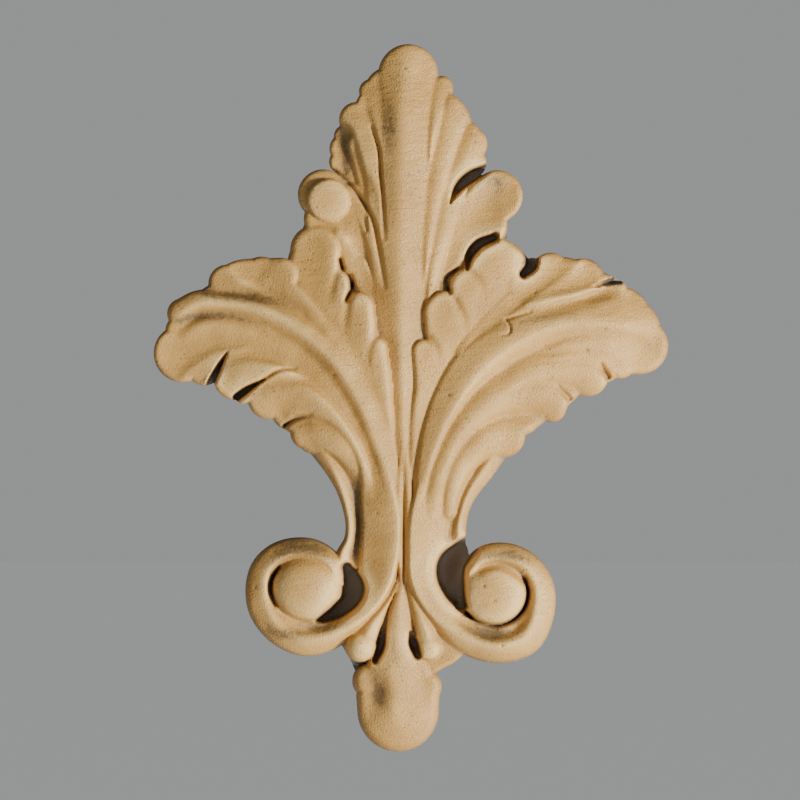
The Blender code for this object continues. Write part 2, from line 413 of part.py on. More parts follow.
def cuts():
    """Narrow cuts between lobes and folds; the last number of each knot is the depth."""
    return [through((-35, 4.8, 0.5, 0.9), (-31, 7.2, 0.5, 0.9), (-27, 7.6, 0.5, 0.4)),
            through((-29.6, -6.6, 0.5, 2.2), (-26.5, -4.8, 0.5, 1.2), (-23, -4.0, 0.5, 0.4)),
            through((11.6, 26.4, 0.4, 0.6), (10.8, 30.0, 0.45, 1.6), (13.6, 32.6, 0.4, 1.6)),
            through((-15.8, 34.8, 0.5, 3), (-15.3, 32.8, 0.5, 3)),
            through((-15.2, 32.2, 0.4, 2), (-13.4, 30.4, 0.6, 3.5), (-12.9, 27.6, 0.7, 3.5),
                    (-14.2, 24.6, 0.5, 2)), through((-7.9, 68, 0.4, 0.5), (-6.1, 62, 0.4, 1.2),
                                                    (-5.7, 56, 0.4, 1.2), (-5.1, 50, 0.4, 0.9),
                                                    (-4.6, 40, 0.6, 0.3)),
            through((-17.2, 57.2, 0.6, 0.6), (-12.4, 52.4, 0.5, 1.2), (-7.9, 45.5, 0.5, 1.3),
                    (-6.0, 37.2, 0.6, 1.0), (-4.6, 28, 0.6, 0.3)),
            through((49.4, 8.6, 0.5, 1), (51.2, 5.4, 0.7, 2)),
            through((38.6, 3.0, 0.5, 0.6), (41.6, 0.0, 0.7, 1.6)),
            through((-30.8, -42.0, 0.5, 1.5), (-32.8, -45, 0.45, 2.4), (-33.2, -48, 0.45, 2.4),
                    (-32.0, -51.4, 0.5, 1.2)), through((30.4, -44.6, 0.5, 1.5), (31.2, -48.4, 0.45, 2.2),
                                                       (30.2, -52.2, 0.5, 2.4), (27.2, -55.2, 0.5, 2.4),
                                                       (23.0, -56.6, 0.5, 2), (18.6, -55.6, 0.5, 1.5),
                                                       (16.0, -53.6, 0.5, 3)),
            through((18.0, -44.0, 0.9, 0.2), (20.2, -42.2, 1.0, 1.0), (24, -41.6, 1.0, 1.2),
                    (27.4, -43.2, 0.9, 1.2), (30.2, -45.6, 0.7, 1.0))]


FORMS = [centre_leaf(), centre_leaf_low(), centre_leaf_folds(), left_leaf(), left_inner_leaf(),
         right_leaf(), right_inner_leaf(), rims(), groove_floors(), left_scroll(), right_scroll(),
         tendrils(), pendant(), plate()]
BALLS = [(-18.5, 49.6, 5.2, 9.7, 1.2), (-24.2, -47.0, 8.4, 8.8, 5.0), (22.8, -48.5, 8.1, 9.2, 4.4),
         (-10.7, -61.8, 3.9, 7.8, 4.6), (6.4, -62.0, 3.4, 8.0, 3.0)]


def close_by(x, z, curves, reach=12.0):
    """Which points lie within reach of the box of some curves."""
    knots = np.vstack([curve[0][:, :2] for curve in curves])
    low, high = knots.min(0) - reach, knots.max(0) + reach
    return (x > low[0]) & (x < high[0]) & (z > low[1]) & (z < high[1])


def relief(x, z):
    """Level above the back, and inset from the outline, of the whole front at every point."""
    height, inset = np.full(x.shape, NOTHING), np.full(x.shape, NOTHING)
    for edge, flutes, body, veins, join in FORMS:
        some = close_by(x, z, [curve for _, _, curve in flutes] + body)
        level, inside = form(x[some], z[some], edge, flutes, body, veins)
        height[some] = soft_max(height[some], level, join)
        inset[some] = np.maximum(inset[some], inside)
    for ball in BALLS:
        level, inside = dome(x, z, *ball)
        height, inset = soft_max(height, level, 0.5), np.maximum(inset, inside)
    for web in webs():
        some = close_by(x, z, [web])
        distance, _, _, place, _ = nearest(x[some], z[some], web)
        inset[some] = np.maximum(inset[some], place[:, 2] - distance)
    for gap in gaps():
        some = close_by(x, z, [gap], 6.0)
        distance, _, _, place, _ = nearest(x[some], z[some], gap)
        wall = place[:, 3] + GAP_WALL * np.maximum(distance - place[:, 2], 0)
        height[some] = -soft_max(-height[some], -wall, 0.4)
    for cut in cuts():
        some = close_by(x, z, [cut], 4.0)
        distance, _, _, place, _ = nearest(x[some], z[some], cut)
        height[some] -= place[:, 3] * np.exp(-(distance / place[:, 2]) ** 2)
    return np.maximum(height, WEB_LEVEL), inset


def kept_cells(inset):
    """Grid cells whose middle lies inside the outline; cells that would meet only at a corner are joined."""
    kept = (inset[:-1, :-1] + inset[1:, :-1] + inset[:-1, 1:] + inset[1:, 1:]) > 0
    while True:
        a, b, c, d = kept[:-1, :-1], kept[1:, 1:], kept[:-1, 1:], kept[1:, :-1]
        corner_only = (a & b & ~c & ~d) | (~a & ~b & c & d)
        if not corner_only.any():
            return kept
        for block in (a, b, c, d):
            block |= corner_only


def onto_outline(x, z, most):
    """Moves points to where the inset is zero by Newton steps along its slope, no further than most."""
    start_x, start_z, probe = x.copy(), z.copy(), 0.02
    for _ in range(4):
        inset = relief(x, z)[1]
        slope_x = (relief(x + probe, z)[1] - inset) / probe
        slope_z = (relief(x, z + probe)[1] - inset) / probe
        steepness = np.maximum(slope_x ** 2 + slope_z ** 2, 0.25)
        x = start_x + np.clip(x - inset * slope_x / steepness - start_x, -most, most)
        z = start_z + np.clip(z - inset * slope_z / steepness - start_z, -most, most)
    return x, z


def moulding_mesh():
    """The closed skin: the relief in front, straight walls at the outline, and the flat back."""
    half_x, half_z = DRAWING_HALF
    along_x = np.arange(-half_x, half_x, MESH_STEP)
    along_z = np.arange(-half_z, half_z, MESH_STEP)
    x, z = np.meshgrid(along_x, along_z, indexing="ij")
    rough_inset = relief(x.ravel(), z.ravel())[1].reshape(x.shape)
    kept = kept_cells(rough_inset)

    number = np.arange(x.size).reshape(x.shape)
    cells = np.stack([number[:-1, :-1], number[1:, :-1], number[1:, 1:], number[:-1, 1:]], axis=-1)[kept]
    used, cells = np.unique(cells, return_inverse=True)
    cells = cells.reshape(-1, 4)
    x, z = x.ravel()[used], z.ravel()[used]

    edges = np.concatenate([cells[:, [k, (k + 1) % 4]] for k in range(4)])
    _, first, times = np.unique(np.sort(edges, axis=1), axis=0, return_index=True, return_counts=True)
    border = edges[first[times == 1]]
    rim = np.unique(border)
    x[rim], z[rim] = onto_outline(x[rim], z[rim], 0.6 * MESH_STEP)
    level = relief(x, z)[0]

    scale = HEIGHT / DRAWN_HEIGHT
    count = len(x)
    corners = np.zeros((2 * count, 3))
    corners[:, 0], corners[:, 2] = np.tile(x, 2), np.tile(z, 2)
    corners[:count, 1] = -level
    walls = np.column_stack([border[:, 1], border[:, 0], border[:, 0] + count, border[:, 1] + count])
    faces = np.concatenate([cells, cells[:, ::-1] + count, walls])
    mesh = bpy.data.meshes.new("moulding")
    mesh.from_pydata((corners * scale).tolist(), [], faces.tolist())
    mesh.update()
    return mesh


def resin():
    """Tan cast resin, matt, with a faint gloss."""
    material = bpy.data.materials.new("cast resin")
    material.use_nodes = True
    shader = material.node_tree.nodes["Principled BSDF"]
    shader.inputs["Base Color"].default_value = RESIN_COLOUR
    shader.inputs["Roughness"].default_value = RESIN_ROUGHNESS
    shader.inputs["Metallic"].default_value = 0.0
    return material


def main():
    for old in list(bpy.data.objects):
        bpy.data.objects.remove(old, do_unlink=True)
    mesh = moulding_mesh()
    mesh.materials.append(resin())
    moulding = bpy.data.objects.new("moulding", mesh)
    bpy.context.scene.collection.objects.link(moulding)
    thin = moulding.modifiers.new("Thin the mesh", "DECIMATE")
    thin.ratio = TRIANGLES / (2 * len(mesh.polygons))
    thin.use_collapse_triangulate = True
    mesh.shade_smooth()
    mesh.set_sharp_from_angle(angle=np.radians(SHARP_ANGLE))


main()
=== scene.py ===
# %% [markdown]
# # A flexible fleur-de-lis moulding
# The real object is one casting in tan resin: a flat-backed ornament of three carved leaves, two small
# leaves that overlap them, two scrolls with balls in their eyes, two tendrils and a pendant. It bends a
# little when it is glued to a curved door or frame. This notebook dresses its CAD model for a render.

import bmesh
import bpy
import numpy as np
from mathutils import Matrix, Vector


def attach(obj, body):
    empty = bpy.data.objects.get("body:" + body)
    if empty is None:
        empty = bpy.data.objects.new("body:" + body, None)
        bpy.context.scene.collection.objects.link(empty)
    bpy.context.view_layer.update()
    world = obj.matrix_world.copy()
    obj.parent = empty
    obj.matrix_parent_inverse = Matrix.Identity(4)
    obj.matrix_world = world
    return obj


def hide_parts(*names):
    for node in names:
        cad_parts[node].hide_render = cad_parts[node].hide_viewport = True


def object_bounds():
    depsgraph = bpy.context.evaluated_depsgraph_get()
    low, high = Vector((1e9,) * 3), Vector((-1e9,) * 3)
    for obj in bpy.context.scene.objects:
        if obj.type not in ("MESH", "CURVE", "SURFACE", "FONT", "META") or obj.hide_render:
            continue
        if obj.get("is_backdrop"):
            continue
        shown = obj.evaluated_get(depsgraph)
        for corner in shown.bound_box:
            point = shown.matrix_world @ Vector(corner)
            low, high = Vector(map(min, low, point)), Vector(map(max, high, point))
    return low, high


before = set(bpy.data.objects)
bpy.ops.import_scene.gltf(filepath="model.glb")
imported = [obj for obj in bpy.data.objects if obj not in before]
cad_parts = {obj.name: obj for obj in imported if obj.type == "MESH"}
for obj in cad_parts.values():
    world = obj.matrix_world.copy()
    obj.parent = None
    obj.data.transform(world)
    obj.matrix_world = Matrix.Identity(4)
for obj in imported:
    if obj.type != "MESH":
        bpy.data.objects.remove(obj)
cad_low, cad_high = (list(corner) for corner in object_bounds())
print("CAD box in mm:", [round(1000 * (high - low), 1) for low, high in zip(cad_low, cad_high)])

# %% [markdown]
# ## The relief
# The whole front is one surface, so it can be worked out as one function: for any place on a drawing seen
# from the front it gives the level above the flat back, and the inset from the outline. Places and widths
# are millimetres on the drawing, x to the right and z upwards, as in the CAD source. Only the groove beside
# the right stem is shallower here.
#
# A curve runs through knots of four numbers: x, z, half-width and level. Between two knots it is a cubic,
# p + f (a + f (square + f cube)), whose terms follow from the two knots and the slopes there. A knot may
# carry a fifth number, where a crest runs across the width.

# %% Curves that carry a half-width and a level
def heading(angle):
    """Unit vector of a heading in degrees: 0 is up the drawing, 90 is to the right."""
    return np.array([np.sin(np.radians(angle)), np.cos(np.radians(angle))])


def through(*knots):
    """Smooth curve through knots (x, z, half-width, level): the knots and their slopes."""
    knots = np.asarray(knots, float)
    ends = np.vstack([2 * knots[0] - knots[1], knots, 2 * knots[-1] - knots[-2]])
    return knots, (ends[2:] - ends[:-2]) / 2


def curves(*rows):
    """One smooth curve for each row of knots."""
    return [through(*row) for row in rows]


def outlines(*rows):
    """Curves that only fill out an outline, from rows of knots (x, z, half-width)."""
    return curves(*[[(*knot, 0) for knot in row] for row in rows])


def read(curve, t):
    """Place, slope and bend of a curve at parameters t, by its cubic between two knots."""
    knots, slopes = curve
    i = np.clip(t.astype(int), 0, len(knots) - 2)
    f = (t - i)[:, None]
    p, q, a, b = knots[i], knots[i + 1], slopes[i], slopes[i + 1]
    square, cube = 3 * (q - p) - 2 * a - b, 2 * (p - q) + a + b
    place = p + f * (a + f * (square + f * cube))
    slope = a + f * (2 * square + 3 * f * cube)
    return place, slope, 2 * square + 6 * f * cube


print("a heading of 90 degrees points", heading(90).round(2))

# %% [markdown]
# Every point asks for the nearest place on a curve. That is where (place - point) . slope = 0, and a few
# Newton steps find it exactly, so no facets of a polyline show up in the relief.

# %% Nearest place on a curve
def nearest(x, z, curve):
    """Nearest place on a curve for every point.

    A coarse search picks the start, and Newton steps finish it. Returns the distance, the sideways distance
    with its sign, the overshoot past the end, the curve's numbers there, and the share of its length.
    """
    count = len(curve[0]) - 1
    coarse = np.linspace(0, count, 16 if count == 1 else 5 * count + 1)
    place = read(curve, coarse)[0]
    t = coarse[np.argmin((x[:, None] - place[:, 0]) ** 2 + (z[:, None] - place[:, 1]) ** 2, axis=1)]
    for _ in range(4):
        place, slope, bend = read(curve, t)
        dx, dz = place[:, 0] - x, place[:, 1] - z
        speed = slope[:, 0] ** 2 + slope[:, 1] ** 2
        gain = np.maximum(speed + dx * bend[:, 0] + dz * bend[:, 1], 0.3 * speed)
        t = np.clip(t - np.clip((dx * slope[:, 0] + dz * slope[:, 1]) / gain, -0.2, 0.2), 0, count)
    place, slope, _ = read(curve, t)
    dx, dz = x - place[:, 0], z - place[:, 1]
    speed = np.hypot(slope[:, 0], slope[:, 1]) + 1e-9
    distance = np.hypot(dx, dz)
    past_end = t >= count - 1e-6
    over = np.where(past_end, np.maximum((dx * slope[:, 0] + dz * slope[:, 1]) / speed, 0), 0)
    side = (dx * slope[:, 1] - dz * slope[:, 0]) / speed
    side = np.where(over > 0, side, np.where(side >= 0, distance, -distance))
    place[:, 3] += slope[:, 3] / speed * 4 * (1 - np.exp(-over / 4))
    return distance, side, over, place, t / count


def room_inside(x, z, curve):
    """How far each point lies inside a curve's half-width; negative outside it."""
    distance, _, _, place, _ = nearest(x, z, curve)
    return place[:, 2] - distance


def soft_ridge(x, z, curve):
    """A ridge along a curve: its last number times exp(-(distance / half-width)^2)."""
    distance, _, _, place, _ = nearest(x, z, curve)
    return place[:, 3] * np.exp(-(distance / place[:, 2]) ** 2)


left_of_line = nearest(np.array([-2.0]), np.array([5.0]), through((0, 0, 1, 0), (0, 10, 1, 0)))[1]
print("sideways distance of a point on the left of a line:", left_of_line.round(2))

# %% [markdown]
# ## One carved form
# A leaf is a fan of flutes. Each point takes the level of the flute whose axis is nearest to it, counted in
# half-widths, so that ridges stand where two flutes meet. The weights exp(-sharpness * across) round the
# ridges off as a worn carving's are. A dished flute follows level - hollow (1 - across^2 / 1.7)^2, a domed
# one has a negative hollow, and tilt lifts one side. Ribs and stems are roofs instead: two straight slopes
# up to a rounded crest, which may stand aside of the middle. Every form's edge is a quarter round.

# %% The level and inset of a form
RIDGE_SHARPNESS = 6.5     # higher gives crisper ridges between flutes
CARVING_DEPTH = 1.5       # how much deeper than drawn the flutes are cut
CREST_ROUNDING = 0.22     # rounding of a roof's crest, as a share of its half-width
FADE_IN = 1.1             # holds a flute back where it leaves its spine
EDGE_DROP = 0.85          # depth of the rounded edge as a share of its radius
WALL_FALL = 5.0           # millimetres a wall falls for each millimetre outwards
GAP_WALL = 5.5            # the same for the walls of an open gap
NOTHING = -60.0           # a level far below everything


def soft_max(a, b, join):
    """The higher of two levels, rounded over the join's height where they cross."""
    t = np.clip(0.5 + 0.5 * (a - b) / join, 0, 1)
    return b + (a - b) * t + join * t * (1 - t)


def roof(side, over, width, crest):
    """Section of a crowned band: 0 at its sides and 1 at its crest, which is rounded and may stand aside."""
    side = side / width - crest
    side = side / np.where(side < 0, 1 + crest, 1 - crest)
    return 1 + CREST_ROUNDING - np.sqrt(CREST_ROUNDING ** 2 + side ** 2 + (0.7 * over / width) ** 2)


def form(x, z, edge, flutes, body=(), veins=()):
    """Level and inset of one form at every point.

    flutes are (hollow, tilt, curve): each point takes the level of the flute whose axis is nearest in
    half-widths, blended at the ridges. Where its knots carry a fifth number, a flute is a roof as high as
    its hollow, and that number is where its crest runs, from -1 on the left to 1 on the right. body are
    curves that only fill out the outline. veins are narrow ridges, or grooves where their level is
    negative. The edge is rounded off by a quarter circle.
    """
    total, weight = np.zeros(x.shape), np.full(x.shape, 1e-300)
    inset = np.full(x.shape, NOTHING)
    for hollow, tilt, curve in flutes:
        distance, side, over, place, share = nearest(x, z, curve)
        width, level = place[:, 2], place[:, 3]
        inset = np.maximum(inset, width - distance)
        across = np.hypot(side, np.maximum(over - 0.8 * width, 0)) / width
        growth = (width / curve[0][:, 2].max()) ** 0.7
        pull = np.exp(-RIDGE_SHARPNESS * np.minimum(across + FADE_IN * (1 - share) ** 3, 40))
        if place.shape[1] > 4:
            shape = hollow * growth * roof(side, over, width, place[:, 4])
        else:
            lean = 1.4 * tilt * np.tanh(side / width / 1.4)
            shape = CARVING_DEPTH * growth * (lean - hollow * np.maximum(1 - across ** 2 / 1.7, 0) ** 2)
        total += pull * (level + shape)
        weight += pull
    height = total / weight
    for curve in body:
        inset = np.maximum(inset, room_inside(x, z, curve))
    for curve in veins:
        height = height + soft_ridge(x, z, curve)
    near_edge = np.clip(1 - inset / edge, 0, 1)
    drop = edge * EDGE_DROP * (1 - np.sqrt(1 - 0.97 * near_edge ** 2))
    return height - drop + np.minimum(inset, 0) * WALL_FALL, inset


def dome(x, z, middle_x, middle_z, radius, level, crown):
    """Level and inset of a ball: level + crown sqrt(1 - (distance / radius)^2)."""
    distance = np.hypot(x - middle_x, z - middle_z)
    rise = crown * np.sqrt(np.maximum(1 - (distance / radius) ** 2, 0))
    return level + rise + np.minimum(radius - distance, 0) * WALL_FALL, radius - distance


print("a ridge is", round(100 * np.exp(-RIDGE_SHARPNESS * 0.5)), "percent shared half a width away")

# %% [markdown]
# ## The centre leaf
# A tall blade with a roof along its middle, small lobes down both edges, two broad lobes low down, dished
# on the right and domed on the left, and three folds that lie on its left side. Every flute is one cubic
# from a narrow root to a round tip.

# %% The centre leaf
EARLY_WIDTH = 0.9         # under 1 a flute widens late, over 1 early


def flute(root, root_heading, tip, radius, tip_heading, levels, hollow, tilt=0.0, start=1.2, reach=1.0):
    """A flute: one cubic from a narrow root to a round tip, with given headings there.

    start and radius are its half-widths there, levels those of the root, the middle and the tip. A hollow
    under 0 makes it stand out, and tilt lifts its right side.
    """
    root, tip = np.array(root, float), np.array(tip, float)
    pull = np.linalg.norm(tip - root) * reach
    growth = radius - start
    first, middle, last = levels
    knots = np.array([[*root, start, first], [*tip, radius, last]])
    slopes = np.array([
        [*(pull * heading(root_heading)), growth * EARLY_WIDTH, -3 * first + 4 * middle - last],
        [*(pull * heading(tip_heading)), growth * (2 - EARLY_WIDTH), first - 4 * middle + 3 * last],
    ])
    return hollow, tilt, (knots, slopes)


def centre_leaf():
    """The tall blade, roofed along its middle, and the small lobes down both edges."""
    blade = through(
        (0.4, -36, 1.2, 8.4, 0), (0, -12, 2.8, 9.4, 0), (-0.6, 15, 5.4, 9.8, 0), (-0.8, 38, 8, 9.8, 0),
        (-0.6, 60, 9.4, 9, 0), (0.7, 75, 8.3, 7.6, -0.1), (1.3, 81.2, 7.5, 6.9, -0.1))
    flutes = [
        (3.4, 0, blade),
        flute((6.2, 56), 6, (9.8, 78), 2.8, 12, (11, 9.8, 7.4), -0.4, -0.2),
        flute((5.4, 30), 5, (11.9, 69.4), 4.4, 16, (11.2, 10.2, 8.2), -0.6, -0.2, start=2.2),
        flute((6.2, 24), 8, (17, 63.8), 4.1, 24, (10.8, 9.8, 7.4), -0.6, -0.2, start=2),
        flute((-5.6, 62), -3, (-8, 77), 3, -14, (11.2, 10, 8), -0.1, 0.2),
        flute((-6.4, 50), -5, (-11.6, 69.8), 4.4, -18, (11.2, 10.4, 8.6), -0.4, 0.2, start=2),
        flute((-9, 42), -10, (-14.4, 62.6), 4, -10, (9.2, 8.9, 7.4), 0.3, 0.2),
    ]
    body = outlines(
        ((0, -20, 3), (0, 0, 5), (0, 30, 7), (-1, 58, 15)),
        ((-5, 62, 11), (-5.2, 70, 8), (-3.6, 77, 6)),
        ((4, 60, 12.4), (7.6, 68, 10), (5.4, 75.6, 5.6)),
        ((16, 66.2, 3.2), (17, 61, 3.1), (17.6, 58.6, 3), (12, 58, 3.6)),
        ((-14.5, 65.8, 2.8), (-13, 65, 3)),
        ((-15.9, 59.4, 2.6), (-13, 58, 3)),
    )
    return 1.2, flutes, body, [], 0.5


def centre_leaf_low():
    """The broad low lobes at the foot of the centre leaf: a dish on the right, a domed oval on the left."""
    flutes = [
        flute((-7, 26), -12, (-20, 51.1), 6.3, -34, (8.6, 9.6, 8.8), 0.3, start=2.2),
        flute((-7, 22), -20, (-15.4, 41.2), 4, -30, (8.8, 9.2, 9), -0.4, start=1.8),
        flute((4.4, 2), 5, (23.5, 50.8), 6.4, 48, (10.4, 10.8, 9.4), 0.9, 0.1, start=2.4),
        flute((6.6, 4), 8, (16.8, 33), 5, 52, (10.4, 10.8, 10), 1, start=2.2),
    ]
    body = outlines(
        ((-10, 30, 8), (-12, 45, 9)),
        ((8, 25, 7), (12, 44, 8)),
        ((16, 38, 6), (20, 44, 6)),
        ((-18.8, 45, 6), (-15, 40, 6)),
    )
    bump = through((-16.2, 40.8, 1.9, 0.8), (-14.6, 40.2, 1.9, 0.7))
    return 1.5, flutes, body, [bump], 0.6


def centre_leaf_folds():
    """The raised folds that lie on the left of the blade, each highest at its right edge."""
    flutes = [
        flute((-4.2, 16), -3, (-9.8, 63.4), 3.9, -12, (10, 10.2, 9.6), 0.1, 0.55, start=1.8),
        flute((-4, 10), -4, (-9.8, 48.8), 3.1, -16, (10, 10.2, 9.6), 0.1, 0.5),
        flute((-3.6, 4), -4, (-11.4, 32.4), 3.2, -34, (10.2, 10.6, 9.8), 0.1, 0.4),
    ]
    return 1.3, flutes, outlines(((-2.6, 6, 2), (-4.8, 30, 3.6), (-6.6, 48, 3.4))), [], 0.5


centre_parts = (centre_leaf(), centre_leaf_low(), centre_leaf_folds())
print("flutes in the centre leaf:", sum(len(flutes) for _, flutes, _, _, _ in centre_parts))

# %% [markdown]
# ## The side leaves
# Each has a rib that leaves the neck and bends over to the upper tip. Two flutes rise above it and five
# hang below it. Most of the lower ones are domed and tilted, so each casts a line of shade on the next.

# %% The side leaves
def left_leaf():
    """The left leaf: a rib from the neck to the upper tip, with flutes falling away on both sides."""
    rib = through(
        (-1.8, -32, 1.3, 9.2, 0.1), (-3, -22, 2.4, 10.2, 0), (-5.4, -12, 3.6, 10.3, -0.2),
        (-9.8, 0.2, 4.6, 10.7, -0.3), (-16.4, 11.4, 5.2, 11.2, -0.4), (-27.2, 19.4, 4.4, 10.8, -0.3),
        (-40, 24, 3, 9.7, -0.1), (-50, 24.2, 3.2, 8.4, 0), (-55.2, 21.4, 3.8, 7.2, 0))
    flutes = [
        (1.9, 0, rib),
        flute((-14, 10), -45, (-35.4, 30.2), 5.4, -52, (11.6, 11.4, 8.8), 0.35, 0.2, start=2.8),
        flute((-20, 15), -60, (-44, 28.9), 4.7, -74, (11.6, 11, 8.2), 0.4, 0.2, start=2.2),
        flute((-5.6, -26), -6, (-55.2, 11.4), 7.2, -122, (10, 11.2, 7.6), 0.9, 0.3, reach=1.1, start=2.2),
        flute((-30, 13), -80, (-49.8, 7.6), 4.2, -135, (10.4, 9.8, 7.8), 0.4, start=2),
        flute((-19, 3), -55, (-42, 5.2), 5.4, -112, (10.8, 10.6, 8.2), -0.8, 0.4, start=3.4),
        flute((-8.4, -23), -6, (-33.4, 0.4), 5.5, -124, (9, 10.8, 8.2), -1, 0.3, reach=1.15, start=2.6),
        flute((-11.4, -21), -2, (-22.3, -9.3), 4.4, -98, (7.6, 10, 8.6), -0.9, 0.3, reach=1.15, start=2.2),
    ]
    body = outlines(
        ((-6, -20, 3), (-12, -4, 6), (-22, 10, 7), (-34, 20, 10), (-43, 19, 11), (-50, 15.8, 9)),
        ((-30.5, 31, 4.3), (-40, 30.2, 4.7), (-43.6, 28.4, 4.4)),
        ((-56.2, 17.4, 3.2), (-54, 17, 4)),
        ((-10, -14, 4), (-17, -4, 6.4), (-27, 1.5, 7), (-35, 6, 7.4)),
        ((-28.6, -3.4, 4.2), (-25, -4.6, 5)),
        ((-39.6, 1.8, 3), (-36, 3, 4)),
        ((-24, -8.4, 4.2), (-20, -9, 4)),
    )
    grooves = curves(
        ((-56, 17, 1.6, -0.6), (-52, 20.4, 1.8, -1.3), (-45, 21, 2, -1.3), (-36, 18.6, 2.2, -1),
         (-27, 14, 2.2, -0.8), (-18, 6, 2, -0.6), (-11, -6, 1.6, -0.3)),
        ((-47, 25.4, 1.8, -0.4), (-41, 26.6, 2, -1), (-33, 25.6, 2.2, -1), (-25, 20.8, 2, -0.5)),
    )
    return 1.4, flutes, body, grooves, 0.7


def right_leaf():
    """The right leaf, of the same kind as the left one; a broad fold takes the place of the rib."""
    fold = through(
        (3.6, -26, 1.8, 10, 0.3), (6.2, -14, 3, 10.8, 0.4), (10.6, -2, 4.4, 11, 0.45),
        (17.4, 8.6, 5.4, 11, 0.45), (26.6, 15.8, 5.8, 10.6, 0.4), (37, 19.4, 5.6, 10, 0.2),
        (47, 19.6, 5.6, 9, 0.1), (55.2, 18.4, 5.8, 7.4, 0))
    flutes = [
        (2.4, 0, fold),
        flute((15, 12), 42, (37, 31.5), 5.1, 50, (11.8, 11.2, 8.6), 0.5, 0.3, start=2.6),
        flute((22, 17.6), 55, (45, 29.6), 5.6, 74, (11.8, 11.2, 8), 0.5, 0.7, start=2),
        flute((34, 12), 85, (58.4, 13), 6.4, 108, (11, 10.6, 7.6), 0, -0.3, start=3),
        flute((30, 8), 80, (50.4, 8.6), 4.4, 128, (10.6, 10, 7.8), -0.8, -0.2, start=2),
        flute((9, -18), 30, (46, 6), 5.4, 122, (10.4, 11, 8.6), -0.9, -0.3, start=2.6),
        flute((7.6, -28), 4, (36, 0.4), 5.6, 118, (9.8, 11, 8.6), -1.2, -0.4, reach=1.15, start=2.8),
        flute((11.5, -28), 0, (25, -9.2), 5.5, 92, (9.2, 10.2, 8.8), -1.2, -0.3, reach=1.15, start=2.4),
    ]
    body = outlines(
        ((6, -20, 3), (12, -3, 6), (22, 9, 7), (34, 20, 10), (45, 19, 11.4), (55, 16.4, 9.6)),
        ((59.2, 13.3, 7.2), (55, 14, 8)),
        ((55.2, 21.4, 6.4), (50, 20, 8)),
        ((32, 28, 6.4), (41, 30.2, 5.2), (53, 26.8, 3.2)),
        ((54.2, 9.3, 4.2), (50, 12, 5)),
        ((9, -18, 5), (18, -6, 8.2), (28, -1.8, 7.6), (36, 3.6, 6.6)),
        ((50, 8.4, 3.4), (46, 10, 6)),
        ((41.4, 2, 2.6), (38.8, 0.2, 3.2), (37.2, -2.2, 3.6)),
        ((30.4, -5.4, 3.4), (26, -5, 5)),
    )
    lip = curves(
        ((31, 23.6, 1, 0.3), (37.2, 25, 1.1, 0.8), (44, 26.4, 1.1, 1), (49.4, 28.4, 0.9, 0.6)),
        ((33, 21.2, 1.6, -0.3), (40, 23.2, 2, -0.9), (48, 25.2, 2, -0.8), (53, 26.6, 1.6, -0.2)),
    )
    return 1.8, flutes, body, lip, 0.7


print("flutes in the side leaves:", len(left_leaf()[1]), "and", len(right_leaf()[1]))

# %% [markdown]
# ## The small inner leaves
# They lie over the joints between the centre leaf and the side leaves. One broad body carries each, round
# lobes only fill out its scalloped edge, and short creases part them.

# %% The inner leaves
def left_inner_leaf():
    """The small leaf that overlaps the centre leaf on the left; its scalloped edge faces the blade."""
    leaf = through(
        (-1.2, -20, 1.3, 9.8), (-6, -4, 2.6, 11.4), (-12.2, 9, 4.6, 12.2), (-18, 20.5, 6, 12),
        (-22.2, 34.2, 6.6, 10.2))
    lobes = outlines(
        ((-3.2, -12, 1.5), (-4.8, -3, 2.5), (-6, 4, 3.2), (-6.8, 12.6, 2.8)),
        ((-11, 13, 4.8), (-11.2, 22.6, 3.9)),
        ((-17, 24, 5.8), (-15.6, 29.6, 2.8)),
        ((-21.9, 37.2, 6.3), (-22, 34, 6)),
    )
    creases = curves(
        ((-6, 18.6, 0.9, -0.6), (-8.6, 12, 1, -0.3), (-9.4, 7, 0.9, 0)),
        ((-12.6, 28, 0.9, -0.7), (-14.2, 21, 1, -0.4), (-14.4, 15, 0.9, 0)),
        ((-16, 33, 0.9, -0.6), (-17.6, 28, 1, -0.3), (-18.4, 23, 0.9, 0)),
    )
    return 2.0, [(0.3, 0.6, leaf)], lobes, creases, 0.5


def right_inner_leaf():
    """The small leaf that overlaps the centre leaf on the right, highest along its scalloped left edge."""
    leaf = through(
        (2, -20, 1.2, 10), (4.6, -2, 2.6, 11), (10.2, 13, 4.4, 11.4), (18, 24.5, 6.2, 11.2),
        (23.4, 33, 7, 10.2))
    lobes = outlines(
        ((3.4, -12, 1.6), (4.8, -3, 2.5), (5.8, 4, 3), (5.3, 11.8, 3.1)),
        ((10.4, 12, 4.4), (10.8, 21.2, 5.6)),
        ((17, 22, 6), (16.2, 28, 4.4)),
        ((19, 26, 6), (23, 32, 7)),
    )
    creases = curves(
        ((13, 24.6, 0.9, -0.6), (15, 20.5, 1, -0.3), (15.4, 16, 0.9, 0)),
        ((6.6, 15.4, 0.9, -0.6), (8.4, 12.5, 1, -0.3), (9, 8, 0.9, 0)),
        ((16.8, 32, 0.9, -0.5), (19.4, 29, 1, -0.3), (20.4, 26, 0.9, 0)),
    )
    return 1.7, [(-0.4, -0.7, leaf)], lobes, creases, 0.3


print("creases on the inner leaves:", len(left_inner_leaf()[3]) + len(right_inner_leaf()[3]))

# %% [markdown]
# ## Stems, scrolls and tendrils
# These are bands: one curve each, with a roof for its section. The two stems come down from the neck on
# both sides of a thin raised seam, and curl round the balls with a shallow groove along the bottom of each
# scroll. A thin rim runs outside each stem, with a groove between. The tendrils end in drops.

